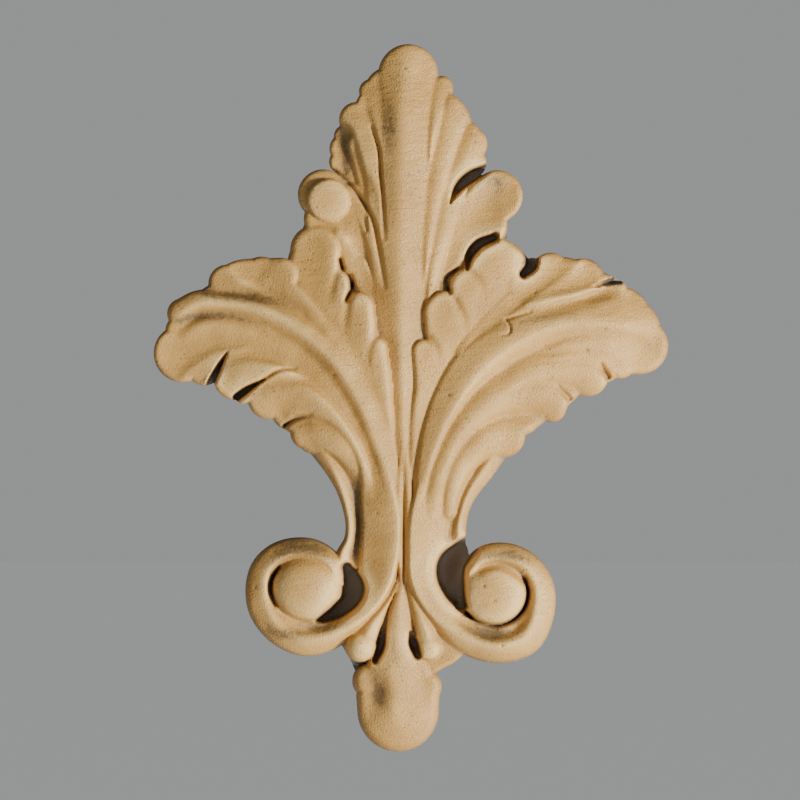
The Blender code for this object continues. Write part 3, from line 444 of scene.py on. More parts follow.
# %% Stems, scrolls, tendrils and balls
def rims():
    """The outer rims of the two stems, which leave the lowest lobes of the leaves."""
    left = through(
        (-21, -11.5, 3, 6.6, 0), (-17, -17.7, 2.4, 7.5, 0.1), (-14.6, -23.6, 1.7, 7.9, 0.2),
        (-13.2, -30.1, 1.3, 8.2, 0.2), (-13.4, -34.9, 1.3, 8.2, 0.2), (-15, -38.9, 1.8, 8.4, 0.2),
        (-15.6, -41.8, 2, 8.4, 0))
    right = through(
        (24, -11.5, 3.2, 6.4, 0), (20.4, -17.5, 2.7, 7.4, 0.1), (16.9, -22.7, 2.2, 7.8, 0.1),
        (15, -27.3, 1.7, 8.2, 0.1), (14.1, -31.6, 1.7, 8.2, 0.1), (14, -36, 1.7, 8.2, 0.1))
    return 0.8, [(2.2, 0, left), (2.4, 0, right)], [], [], 0.8


def groove_floors():
    """The floors of the grooves beside the stems, and the raised seam where the two stems meet."""
    floors = curves(
        ((-14, -13, 4, 8.8), (-12.4, -20, 3.4, 8), (-11, -28, 3, 7.2), (-11, -34, 3, 7),
         (-12.4, -39.6, 2.8, 7.4)),
        ((15, -13, 4, 8.8), (13.4, -20, 3.8, 8.7), (12, -28, 3.2, 8.6), (11.8, -36.5, 3, 8.5)),
        ((0.2, -12, 1, 10.2), (0.2, -20, 1.7, 10.8), (0.2, -28, 2, 11), (0.2, -38, 1.7, 10.9),
         (0.1, -44, 1, 10.2), (0, -48, 0.5, 9.4)),
    )
    line = through(
        (0.1, -10, 0.4, -0.2), (0.1, -20, 0.4, -0.8), (0.2, -28, 0.4, -1.2), (0.2, -40, 0.4, -1.2),
        (0.1, -46, 0.4, -0.8))
    return 0.6, [(0, 0, floor) for floor in floors], [], [line], 0.8


def left_scroll():
    """The left stem, which comes down from the neck and curls round its ball; its crest changes sides."""
    band = through(
        (-9, -6, 2.6, 5.4, -0.5), (-7.6, -15, 4, 7.6, -0.6), (-6, -24, 5.2, 8.1, -0.7),
        (-5.4, -31, 5.5, 8.1, -0.76), (-5.6, -38, 5.4, 8.2, -0.76), (-6.8, -45.8, 4.6, 8.6, -0.72),
        (-11.4, -52.8, 4.2, 8.6, -0.55), (-17.8, -57.8, 4.5, 8.4, -0.1), (-24, -59.4, 4.9, 8, 0.15),
        (-30, -57.2, 4.7, 7.9, 0.4), (-34.4, -52.8, 4.1, 7.9, 0.5), (-36, -47.6, 3.4, 8.2, 0.5),
        (-35, -42.6, 3.2, 8.6, 0.4), (-31.8, -39.4, 3.2, 9, 0.3), (-27.4, -38, 3.2, 9.2, 0.2),
        (-22.6, -38.6, 3.4, 9.4, 0.1), (-18.6, -41.2, 3.2, 9.4, 0), (-16.8, -44.6, 2.2, 9.2, 0))
    groove = through(
        (-12, -50.6, 0.8, 0), (-16, -54.6, 1.1, -1), (-20, -56.8, 1.3, -1.5), (-25, -57.6, 1.4, -1.7),
        (-29.4, -55.6, 1.3, -1.3), (-32.6, -52, 1, -0.6), (-34.2, -47.6, 0.8, 0))
    return 1.6, [(3.5, 0, band)], [], [groove], 0.9


def right_scroll():
    """The right stem and scroll, which runs into its ball."""
    band = through(
        (9, -6, 2.6, 5.4, 0.5), (8.2, -15, 3.8, 7.6, 0.6), (6.9, -24, 5, 8.4, 0.68),
        (5.9, -31, 5.4, 8.6, 0.7), (5.3, -38, 5, 8.6, 0.7), (5.4, -45, 4.6, 8.6, 0.68),
        (8.4, -51.2, 4.5, 8.6, 0.6), (12.6, -56, 4.5, 8.6, 0.35), (18, -59.4, 5.2, 8.4, 0.15),
        (24.2, -60.8, 5.2, 8.4, 0.05), (30.3, -59, 5, 8.2, 0), (34, -53.3, 3.9, 8.4, -0.3),
        (34.4, -47, 3.4, 8.6, -0.35), (31.4, -42, 3.3, 8.8, -0.2), (26.4, -39.4, 3.2, 9.2, -0.1),
        (20.8, -39.9, 3.2, 9.4, 0), (17, -43, 2.4, 9.4, 0), (15.7, -47.4, 1.3, 9.2, 0),
        (16.4, -51.4, 0.8, 9, 0))
    groove = through(
        (11, -52.2, 0.9, 0), (16, -56.4, 1.3, -1), (21.5, -58.8, 1.5, -1.7), (26, -58.6, 1.3, -1.3),
        (30.2, -55.6, 1.1, -0.6), (32.2, -51.8, 0.9, 0))
    return 1.6, [(3.3, 0, band)], [], [groove], 0.9


def tendrils():
    """The two short tendrils that come out from under the stems and end in drops above the pendant."""
    left = through(
        (-0.6, -43.6, 0.9, 8.4, 0), (-2.4, -48.6, 1.3, 9.2, 0), (-5.4, -53.2, 1.6, 9.6, 0),
        (-7.8, -56.6, 2.1, 9.6, 0), (-10.2, -60.8, 3.2, 8.8, 0))
    right = through(
        (0.8, -43.6, 0.9, 8.4, 0), (2.2, -49, 1.6, 9.2, 0), (4.4, -54.6, 2.1, 9.6, 0),
        (5.8, -58.2, 2.5, 9.4, 0), (6.4, -61.6, 3.1, 8.8, 0))
    return 1.3, [(1.8, 0, left), (1.8, 0, right)], [], [], 0.6


print("knots in the left scroll:", len(left_scroll()[1][0][2][0]))

# %% [markdown]
# ## The pendant and the webs
# The pendant is a ridge that swells into a round foot, with a hollow on each side. Open gaps beside the
# balls and between some lobes have steep walls, and thin webs close them from behind, as the mould leaves
# them. Cuts are narrow rounded grooves that part lobes and folds.

# %% The pendant, the plate, the webs and the gaps
WEB_LEVEL = 2.0           # thickness of the thin webs that close the open gaps


def pendant():
    """The pendant under the scrolls: a soft ridge that swells into a round foot, hollowed on both sides."""
    middle = through(
        (-0.2, -43.6, 0.8, 8.6, 0), (-0.6, -48, 2.2, 9.2, 0), (-1, -53.5, 3.6, 9.2, 0.05),
        (-1.2, -58, 4, 8.8, 0.05), (-1.2, -62, 5, 8.5, 0.1), (-1.3, -67, 8.2, 8.1, 0.15),
        (-1.2, -72, 9.2, 7.4, 0.15), (-1.3, -78.2, 10, 6.5, 0.1))
    bumps = outlines(
        ((-8.4, -70.6, 4.3), (-6, -71, 4.3)),
        ((5.6, -72, 4.1), (4, -72, 4)),
        ((-1.3, -74.5, 10.4), (-1.2, -78, 10.2)),
    )
    hollows = curves(
        ((-7.6, -68.4, 2.8, -0.3), (-6.2, -73, 3.2, -1.1), (-6, -79.5, 3, -0.2)),
        ((-11, -68.6, 2.6, 0.2), (-10.4, -72.6, 2.6, 0.2)),
        ((8.4, -70.4, 2.6, 0.2), (8, -74.4, 2.4, 0.2)),
        ((4.6, -66.6, 2.4, -0.2), (5, -71, 2.8, -0.5), (5.2, -77, 2.6, 0)),
    )
    return 2.2, [(3.1, 0, middle)], bumps, hollows, 0.7


def plate():
    """The flat web between the right drop and the right scroll."""
    flat = through((13.4, -57.8, 5, 8.4), (10.4, -61.4, 5, 8.4), (6.8, -64.6, 4, 8.2))
    return 1.2, [(0, 0, flat)], [], [], 0.8


def webs():
    """Thin webs behind the deep gaps, so that nothing shows through them."""
    return outlines(
        ((-13, -42.8, 3.6), (-14.2, -51.2, 3.4), (-18.6, -53, 1.8)),
        ((13, -38.6, 3.4), (12.2, -45.2, 3.6), (13.8, -50.2, 3), (18.4, -55.4, 1.8)),
        ((16.8, 55.2, 2.6), (12.8, 52.8, 2.6)), ((18.8, 38.2, 2.5), (16.8, 34.2, 2)),
        ((32.5, 33.2, 2.2), (30.2, 30.8, 1.4)), ((-15.5, 34.2, 1.5), (-14, 28.8, 2), (-16.2, 25.2, 1.5)),
        ((-47, 7.8, 2.2), (-45.2, 10.8, 1.5)), ((-38.8, 2.2, 2.2), (-35.2, 4.8, 1)),
        ((-13.8, -59.8, 2.2), (-11.4, -63.8, 2.2), (-9.4, -66.8, 2.4), (-4.6, -62.4, 3)),
        ((2.6, -60.5, 2.4), (3, -63, 2.4)), ((50.5, 27.8, 2.2), (46.8, 26.8, 1.2)),
        ((-31.8, -46.5, 3), (-31, -48, 3)), ((28, -52.8, 3.4), (28.2, -50, 3.2), (30.8, -46.5, 1.8)),
        ((-23.4, 42.6, 1.6), (-21.4, 40.4, 2.6)), ((-29.6, 33.6, 1.6), (-27.6, 31, 1.4)),
        ((22.4, 41.6, 3.7), (18, 40, 3)), ((27.4, 36.2, 2.3), (29.5, 33.4, 2.6)),
        ((-2.4, -50, 3), (-3.4, -58, 4)), ((2, -50, 3), (3.4, -58, 4)), ((18, -50, 3), (20, -55.5, 2)),
    )


def gaps():
    """Open gaps whose walls drop to a floor; the last number of each knot is the floor's level."""
    return curves(
        ((16.6, -36.6, 1.6, 2), (14.4, -38.6, 2.3, 2), (12.3, -41.2, 2.9, 2), (11.9, -44.2, 2.8, 2),
         (12.9, -48, 1.9, 2), (14.6, -51.6, 0.6, 3)),
        ((-14, -42.2, 0.6, 3), (-12.9, -44.6, 1.4, 2), (-12.3, -47.4, 1.9, 2), (-13.2, -50.2, 1.6, 2),
         (-16.4, -53.1, 1.1, 2), (-19.4, -54.7, 0.5, 3), (-21.6, -55.4, 0.1, 6)),
        ((-2, -48.4, 0.1, 9.4), (-3.9, -53.4, 0.2, 8.4), (-4.9, -58.4, 0.4, 6), (-5.6, -62, 0.6, 5),
         (-7, -65.4, 0.4, 6)),
        ((2, -58.4, 0.3, 7), (2.6, -61, 0.7, 5), (3.6, -64, 0.6, 6)),
        ((-43.8, 11.9, 0.1, 8), (-45.6, 8.8, 0.1, 4), (-47.4, 5.4, 0.3, 3), (-48.4, 3.4, 0.4, 3)),
        ((-34.6, 4.8, 0.1, 9), (-37.2, 3.4, 0.1, 5), (-39.6, 1.9, 0.25, 3), (-41.6, 0.4, 0.4, 3)),
        ((46.8, 27.8, 0.1, 8), (50, 28.9, 0.4, 5), (54, 29.9, 0.6, 3)),
        ((30.2, 31.4, 0.6, 4), (32, 33.4, 1, 3), (32.4, 36.6, 1.2, 2.5)),
        ((11.8, 49, 0.1, 9), (14, 53, 0.7, 4), (17, 55.6, 1, 3), (20.8, 57.6, 0.6, 3)),
        ((16, 32.6, 0.1, 8), (16.6, 35.8, 0.5, 5), (19, 38.8, 0.7, 4), (22.8, 40.4, 0.4, 4)),
    )


def cuts():
    """Narrow cuts between lobes and folds; the last number of each knot is the depth."""
    return curves(
        ((-35, 4.8, 0.5, 0.9), (-31, 7.2, 0.5, 0.9), (-27, 7.6, 0.5, 0.4)),
        ((-29.6, -6.6, 0.5, 2.2), (-26.5, -4.8, 0.5, 1.2), (-23, -4, 0.5, 0.4)),
        ((11.6, 26.4, 0.4, 0.6), (10.8, 30, 0.45, 1.6), (13.6, 32.6, 0.4, 1.6)),
        ((-15.8, 34.8, 0.5, 3), (-15.3, 32.8, 0.5, 3)),
        ((-15.2, 32.2, 0.4, 2), (-13.4, 30.4, 0.6, 3.5), (-12.9, 27.6, 0.7, 3.5), (-14.2, 24.6, 0.5, 2)),
        ((-7.9, 68, 0.4, 0.5), (-6.1, 62, 0.4, 1.2), (-5.7, 56, 0.4, 1.2), (-5.1, 50, 0.4, 0.9),
         (-4.6, 40, 0.6, 0.3)),
        ((-17.2, 57.2, 0.6, 0.6), (-12.4, 52.4, 0.5, 1.2), (-7.9, 45.5, 0.5, 1.3), (-6, 37.2, 0.6, 1),
         (-4.6, 28, 0.6, 0.3)),
        ((49.4, 8.6, 0.5, 1), (51.2, 5.4, 0.7, 2)),
        ((38.6, 3, 0.5, 0.6), (41.6, 0, 0.7, 1.6)),
        ((-30.8, -42, 0.5, 1.5), (-32.8, -45, 0.45, 2.4), (-33.2, -48, 0.45, 2.4), (-32, -51.4, 0.5, 1.2)),
        ((30.4, -44.6, 0.5, 1.5), (31.2, -48.4, 0.45, 2.2), (30.2, -52.2, 0.5, 2.4),
         (27.2, -55.2, 0.5, 2.4), (23, -56.6, 0.5, 2), (18.6, -55.6, 0.5, 1.5), (16, -53.6, 0.5, 3)),
        ((18, -44, 0.9, 0.2), (20.2, -42.2, 1, 1), (24, -41.6, 1, 1.2), (27.4, -43.2, 0.9, 1.2),
         (30.2, -45.6, 0.7, 1)),
    )


print("webs:", len(webs()), "open gaps:", len(gaps()), "and cuts:", len(cuts()))

# %% [markdown]
# ## The whole front
# The forms are put together by the highest level, rounded a little where they cross. Then the open gaps
# are taken out as the lower of two levels, and the cuts are subtracted. Each form is only worked out near
# its own curves, which keeps the sum quick.

# %% Level and inset of the whole front
FORMS = [centre_leaf(), centre_leaf_low(), centre_leaf_folds(), left_leaf(), left_inner_leaf(),
         right_leaf(), right_inner_leaf(), rims(), groove_floors(), left_scroll(), right_scroll(),
         tendrils(), pendant(), plate()]
# Balls and drops: x, z, radius, level at the rim and height of the crown
BALLS = [(-18.5, 49.6, 5.2, 9.7, 1.2), (-24.2, -47.0, 8.4, 8.8, 5.0), (22.8, -48.5, 8.1, 9.2, 4.4),
         (-10.7, -61.8, 3.9, 7.8, 4.6), (6.4, -62.0, 3.4, 8.0, 3.0)]


def close_by(x, z, curves, reach=12.0):
    """Which points lie within reach of the box of some curves."""
    knots = np.vstack([curve[0][:, :2] for curve in curves])
    low, high = knots.min(0) - reach, knots.max(0) + reach
    return (x > low[0]) & (x < high[0]) & (z > low[1]) & (z < high[1])


def relief(x, z):
    """Level above the back, and inset from the outline, of the whole front at every point."""
    height, inset = np.full(x.shape, NOTHING), np.full(x.shape, NOTHING)
    for edge, flutes, body, veins, join in FORMS:
        some = close_by(x, z, [curve for _, _, curve in flutes] + body)
        level, inside = form(x[some], z[some], edge, flutes, body, veins)
        height[some] = soft_max(height[some], level, join)
        inset[some] = np.maximum(inset[some], inside)
    for ball in BALLS:
        level, inside = dome(x, z, *ball)
        height, inset = soft_max(height, level, 0.5), np.maximum(inset, inside)
    for web in webs():
        some = close_by(x, z, [web])
        inset[some] = np.maximum(inset[some], room_inside(x[some], z[some], web))
    for gap in gaps():
        some = close_by(x, z, [gap], 6.0)
        distance, _, _, place, _ = nearest(x[some], z[some], gap)
        wall = place[:, 3] + GAP_WALL * np.maximum(distance - place[:, 2], 0)
        height[some] = -soft_max(-height[some], -wall, 0.4)
    for cut in cuts():
        some = close_by(x, z, [cut], 4.0)
        height[some] -= soft_ridge(x[some], z[some], cut)
    return np.maximum(height, WEB_LEVEL), inset


print("level on the blade's keel:", relief(np.array([0.0]), np.array([40.0]))[0].round(1), "mm")

# %% [markdown]
# ## Finer relief
# The solids stop at the main carving. A step nearer, the casting shows the unevenness of the hand-cut
# master, a few pits from air bubbles, and one hairline crack on the right leaf. The unevenness is smooth
# noise: random heights on a square lattice, blended by s = f f (3 - 2 f) between neighbours.

# %% Hand-cut unevenness, pits and the crack
UNEVENNESS = ((8.0, 0.16), (3.2, 0.07))    # spacing in mm and height in mm of each layer
PIT_DEPTH = 0.22
# Pits: x, z and radius
PITS = [(-6.5, -28.5, 0.4), (-36.8, -47, 0.4), (50.5, 17.5, 0.4), (46, 12.2, 0.5), (7, 28.5, 0.4),
        (33, 26.5, 0.4), (-17.2, 6, 0.4), (20.2, -46.5, 0.4), (22.8, -50.2, 0.4), (24.8, -61.5, 0.4),
        (11.5, 1, 0.5), (0.6, 82.5, 0.4)]
CRACK = through(
    (31.8, 21.8, 0.3, 0.5), (26.8, 20.2, 0.3, 0.6), (25.5, 19.8, 0.3, 0.6), (26.5, 18.5, 0.3, 0.6),
    (26.5, 16.5, 0.3, 0.6), (24.5, 16, 0.3, 0.3))


def lattice_noise(x, z, spacing, seed):
    """Smooth noise from -1 to 1: random lattice heights blended by s = f f (3 - 2 f) along both axes."""
    heights = np.random.default_rng(seed).uniform(-1, 1, (200, 200))
    u, v = x / spacing + 100, z / spacing + 100
    i, j = np.floor(u).astype(int), np.floor(v).astype(int)
    s, t = u - i, v - j
    s, t = s * s * (3 - 2 * s), t * t * (3 - 2 * t)
    low = heights[i, j] * (1 - s) + heights[i + 1, j] * s
    high = heights[i, j + 1] * (1 - s) + heights[i + 1, j + 1] * s
    return low * (1 - t) + high * t


def fine_relief(x, z):
    """What the hand-cut master, the air bubbles and the crack add to the level, in mm."""
    added = np.zeros(x.shape)
    for seed, (spacing, height) in enumerate(UNEVENNESS):
        added += height * lattice_noise(x, z, spacing, seed)
    for pit_x, pit_z, radius in PITS:
        added -= PIT_DEPTH * np.exp(-((x - pit_x) ** 2 + (z - pit_z) ** 2) / radius ** 2)
    return added - soft_ridge(x, z, CRACK)


print("pits:", len(PITS))

# %% [markdown]
# ## The skin
# A square grid is laid over the drawing and the cells inside the outline are kept. The outermost points
# are moved onto the outline itself, where the inset is 0, by Newton steps along the inset's slope, so the
# edge has no stairs. Straight walls drop to the back, which is filled flat.

# %% The grid over the drawing
GRID_STEP = 0.365
DRAWING_HALF = (67.0, 92.0)


def kept_cells(inset):
    """Grid cells whose middle lies inside the outline; cells that would meet only at a corner are joined."""
    kept = (inset[:-1, :-1] + inset[1:, :-1] + inset[:-1, 1:] + inset[1:, 1:]) > 0
    while True:
        a, b, c, d = kept[:-1, :-1], kept[1:, 1:], kept[:-1, 1:], kept[1:, :-1]
        corner_only = (a & b & ~c & ~d) | (~a & ~b & c & d)
        if not corner_only.any():
            return kept
        for block in (a, b, c, d):
            block |= corner_only


def onto_outline(x, z, most):
    """Moves points to where the inset is zero by Newton steps along its slope, no further than most."""
    start_x, start_z, probe = x.copy(), z.copy(), 0.02
    for _ in range(4):
        inset = relief(x, z)[1]
        slope_x = (relief(x + probe, z)[1] - inset) / probe
        slope_z = (relief(x, z + probe)[1] - inset) / probe
        steepness = np.maximum(slope_x ** 2 + slope_z ** 2, 0.25)
        x = start_x + np.clip(x - inset * slope_x / steepness - start_x, -most, most)
        z = start_z + np.clip(z - inset * slope_z / steepness - start_z, -most, most)
    return x, z


across = np.arange(-DRAWING_HALF[0], DRAWING_HALF[0], GRID_STEP)
upward = np.arange(-DRAWING_HALF[1], DRAWING_HALF[1], GRID_STEP)
grid_x, grid_z = np.meshgrid(across, upward, indexing="ij")
grid_level, grid_inset = (part.reshape(grid_x.shape) for part in relief(grid_x.ravel(), grid_z.ravel()))
kept = kept_cells(grid_inset)
print("grid cells kept:", int(kept.sum()))

# %% [markdown]
# ## Where painted shade, painted highlight and dirt go
# A hollow lies below the average of its surroundings, and a crest above it. The average is a Gaussian blur,
# done as a product in frequency space, and divided by the blurred mask so that the empty space outside
# doesn't count. Both are kept on the mesh as attributes: the material paints shade into the hollows and a
# highlight onto the crests.

# %% Hollows and crests
HOLLOW_REACH = 3.0        # mm
CREST_REACH = 1.6


def blurred(field, reach):
    """Gaussian average over reach mm: the field's spectrum times exp(-2 (pi reach frequency)^2)."""
    fx = np.fft.fftfreq(field.shape[0], GRID_STEP)[:, None]
    fz = np.fft.rfftfreq(field.shape[1], GRID_STEP)[None, :]
    passed = np.exp(-2 * (np.pi * reach) ** 2 * (fx ** 2 + fz ** 2))
    return np.fft.irfft2(np.fft.rfft2(field) * passed, field.shape)


def below_surroundings(level, mask, reach):
    """How far each place lies below the average level around it, in mm."""
    return blurred(level * mask, reach) / np.maximum(blurred(mask, reach), 0.05) - level


solid = (grid_inset > 0).astype(float)
hollow = below_surroundings(grid_level, solid, HOLLOW_REACH)
crest = -below_surroundings(grid_level, solid, CREST_REACH)
print("deepest hollow:", round(float((hollow * solid).max()), 1), "mm")

# %% [markdown]
# Dirt and painted shade darken some places more than others, such as the tops and bottoms of the scrolls,
# the left stem's groove, the pendant's hollow and the blade's upper end. Each patch is a curve whose last
# number is its strength.

# %% Patches of dirt and painted shade
DIRT_AND_SHADE_PATCHES = curves(
    ((-34, -41, 2.2, 0.5), (-28, -37, 2.6, 0.9), (-21, -37.6, 2.4, 0.8), (-17, -40.5, 2, 0.4)),
    ((-35.5, -55, 2, 0.4), (-31.5, -58.6, 2, 0.8), (-25, -58.4, 1.8, 0.6)),
    ((-25.5, -56.4, 1.6, 0.5), (-20, -57, 1.8, 0.9), (-14.5, -55.6, 1.5, 0.5)),
    ((21.4, -39.2, 2, 0.5), (26.5, -38.8, 2.2, 0.8), (32, -40.5, 2, 0.5)),
    ((14.5, -56.8, 1.6, 0.5), (21.5, -58.8, 2.4, 1), (28, -58.2, 1.8, 0.5)),
    ((-12.6, -16, 1.6, 0.3), (-11.9, -21, 1.7, 0.9), (-11, -28, 1.7, 1), (-11, -34, 1.6, 1),
     (-12.2, -39.5, 1.5, 0.8)),
    ((12.4, -21, 1, 0.3), (11.6, -28, 1.2, 0.4), (11.4, -35, 1, 0.2)),
    ((-7.4, -69, 2, 0.6), (-6, -74, 2.4, 1), (-7.2, -78.5, 2, 0.4)),
    ((-56, 19.5, 1.4, 0.8), (-51.5, 20.6, 1.6, 0.9), (-44, 20.8, 1.6, 0.8), (-36, 18.8, 1.3, 0.5)),
    ((-50, 26, 1.2, 0.7), (-43, 25.6, 1.6, 0.8), (-34, 24.8, 1.8, 0.8), (-28, 22.6, 1.4, 0.4)),
    ((-4, 74, 3, 0.5), (-3.2, 68, 3, 0.8), (-3.4, 60, 2.8, 0.5), (-3.6, 50, 2.4, 0.4)),
    ((-14.6, 65, 1.3, 0.7), (-14.2, 58, 1.5, 0.9), (-14, 53, 1.2, 0.5)),
    ((19, 54, 2.4, 0.5), (24, 54.6, 2.2, 0.7), (23, 49.6, 2, 0.5)),
    ((31, 34, 1.8, 0.8), (34, 33, 1.6, 0.5)),
    ((24.5, 17.8, 1.4, 0.4), (33, 19.8, 1.6, 0.6), (42, 21, 1.4, 0.4)),
    ((-2.4, -60, 0.9, 0.4), (-1.6, -65, 1.2, 0.5)),
)


def dirt_and_shade_strength(x, z):
    """Strength of the dirt and painted shade at every point: the strongest of the patches there, and all of
    it in a pit.
    """
    dirt_and_shade = np.zeros(x.shape)
    for curve in DIRT_AND_SHADE_PATCHES:
        dirt_and_shade = np.maximum(dirt_and_shade, soft_ridge(x, z, curve))
    for pit_x, pit_z, radius in PITS:
        dirt_and_shade = np.maximum(dirt_and_shade, np.exp(-((x - pit_x) ** 2 + (z - pit_z) ** 2) / radius ** 2))
    return dirt_and_shade


print("smudges:", len(DIRT_AND_SHADE_PATCHES))

# %% [markdown]
# ## Making the mesh
# The kept cells become the front. The border of the front is found as the edges that only one cell has, and
# it is copied to the plane of the back, y = 0. One millimetre on the drawing is one millimetre in Blender.

# %% The moulding's mesh
MILLIMETRE = 0.001
MOST_MOVE = 0.6 * GRID_STEP    # how far a point may move onto the outline
FLAT_RIM = 1.5                 # mm from the edge over which the finer relief fades in
SHARP_ANGLE = 62               # degrees past which an edge is shaded sharp
LOW_LEVEL = 6                  # mm above the back; all that is lower counts as a hollow


def front_faces(cells_kept):
    """Corner numbers of each kept cell, counted over the points in use, and which points those are."""
    number = np.arange(grid_x.size).reshape(grid_x.shape)
    corners = np.stack([number[:-1, :-1], number[1:, :-1], number[1:, 1:], number[:-1, 1:]], axis=-1)
    used, cells = np.unique(corners[cells_kept], return_inverse=True)
    return cells.reshape(-1, 4), used


def border_edges(cells):
    """Directed edges that belong to one cell only."""
    edges = np.concatenate([cells[:, [k, (k + 1) % 4]] for k in range(4)])
    _, first, times = np.unique(np.sort(edges, axis=1), axis=0, return_index=True, return_counts=True)
    return edges[first[times == 1]]


cells, used = front_faces(kept)
x, z = grid_x.ravel()[used], grid_z.ravel()[used]
border = border_edges(cells)
rim = np.unique(border)
x[rim], z[rim] = onto_outline(x[rim], z[rim], MOST_MOVE)
level, inset = relief(x, z)
level = level + fine_relief(x, z) * np.clip(inset / FLAT_RIM, 0, 1)
print("points on the outline:", len(rim))

# %% Walls, the flat back and the mesh itself
back_number = np.full(len(x), -1)
back_number[rim] = len(x) + np.arange(len(rim))
points = np.zeros((len(x) + len(rim), 3))
points[:len(x)] = np.column_stack([x, -level, z])
points[len(x):] = np.column_stack([x[rim], np.zeros(len(rim)), z[rim]])
walls = np.column_stack([border[:, 1], border[:, 0], back_number[border[:, 0]], back_number[border[:, 1]]])

mesh = bpy.data.meshes.new("carved moulding")
mesh.from_pydata((points * MILLIMETRE).tolist(), [], np.concatenate([cells, walls]).tolist())
builder = bmesh.new()
builder.from_mesh(mesh)
open_edges = [edge for edge in builder.edges if edge.is_boundary]
bmesh.ops.triangle_fill(builder, edges=open_edges, normal=(0, 1, 0), use_beauty=True)
bmesh.ops.recalc_face_normals(builder, faces=builder.faces)
left_open = sum(not edge.is_manifold for edge in builder.edges)
builder.to_mesh(mesh)
builder.free()
mesh.calc_loop_triangles()
print("triangles:", len(mesh.loop_triangles), "and edges left open:", left_open)

# %% Keep the masks on the mesh
def keep(mesh, name, front_values):
    """Stores a number for every point: the given ones in front, 0 on the back."""
    values = np.zeros(len(mesh.vertices), dtype=np.float32)
    values[:len(front_values)] = front_values
    mesh.attributes.new(name, "FLOAT", "POINT").data.foreach_set("value", values)


# The hollow attribute is the depth of the painted shade: how far a place lies below its surroundings, and
# more for all that lies lower than LOW_LEVEL.
keep(mesh, "hollow", hollow.ravel()[used] + np.clip(LOW_LEVEL - level, 0, 3))
# The crest attribute drives the painted highlight on the ridges.
keep(mesh, "crest", crest.ravel()[used])
# Strength of the patches of dirt and painted shade.
keep(mesh, "dirt_and_shade", dirt_and_shade_strength(x, z))
mesh.shade_smooth()
mesh.set_sharp_from_angle(angle=np.radians(SHARP_ANGLE))
moulding = bpy.data.objects.new("carved_moulding", mesh)
bpy.context.scene.collection.objects.link(moulding)
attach(moulding, "root")
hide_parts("moulding")
print("mesh attributes:", [attribute.name for attribute in mesh.attributes if attribute.domain == "POINT"])

# %% [markdown]
# ## The casting grain
# The resin is matt and slightly rough: a fine grain of mineral filler and ripples stretched across, with a
# few specks and small glossy patches, the same on the front and on the back. It is a node group, placed in
# both materials with its own coarseness.

# %% Helpers for nodes, and the grain group
# Scales of the noises, in waves for each metre
GRAIN_SCALE = 2400.0
RIPPLE_SCALE = 900.0
SPECK_SCALE = 760.0
SPECK_CLUSTERS = 130.0
WORN_SCALE = 90.0
RIPPLE_STRETCH = 0.22     # the ripples' scale from left to right, as a share of their scale upwards


def add(tree, kind, settings=(), **wires):
    """Adds a node. settings are its properties; wires are socket=value or socket=output of another node."""
    made = tree.nodes.new(kind)
    for name, value in dict(settings).items():
        setattr(made, name, value)
    for name, value in wires.items():
        key = int(name[1:]) if name[0] == "i" and name[1:].isdigit() else name.replace("_", " ")
        socket = made.inputs[key]
        if isinstance(value, bpy.types.NodeSocket):
            tree.links.new(value, socket)
        else:
            socket.default_value = value
    return made


def blend(tree, factor, low, high):
    """A colour from low to high by the factor."""
    mix = add(tree, "ShaderNodeMix", {"data_type": "RGBA"}, i0=factor, i6=low, i7=high)
    return mix.outputs[2]


def spread(tree, value, low, high):
    """The value stretched so that low gives 0 and high gives 1, smoothly and never past them."""
    ramp = add(tree, "ShaderNodeMapRange", {"interpolation_type": "SMOOTHSTEP"}, Value=value,
               From_Min=low, From_Max=high)
    return ramp.outputs[0]


def arithmetic(tree, operation, first, second):
    """One sum of two values."""
    return add(tree, "ShaderNodeMath", {"operation": operation}, i0=first, i1=second).outputs[0]


def noise(tree, place, scale, detail=2.0, roughness=0.5):
    """Noise at a scale given in waves for each metre."""
    return add(tree, "ShaderNodeTexNoise", (), Vector=place, Scale=scale, Detail=detail,
               Roughness=roughness).outputs["Fac"]


def resin(name):
    """A new material, its node tree, its shader and the place on the object."""
    material = bpy.data.materials.new(name)
    material.use_nodes = True
    tree = material.node_tree
    return material, tree, tree.nodes["Principled BSDF"], add(tree, "ShaderNodeTexCoord").outputs["Object"]


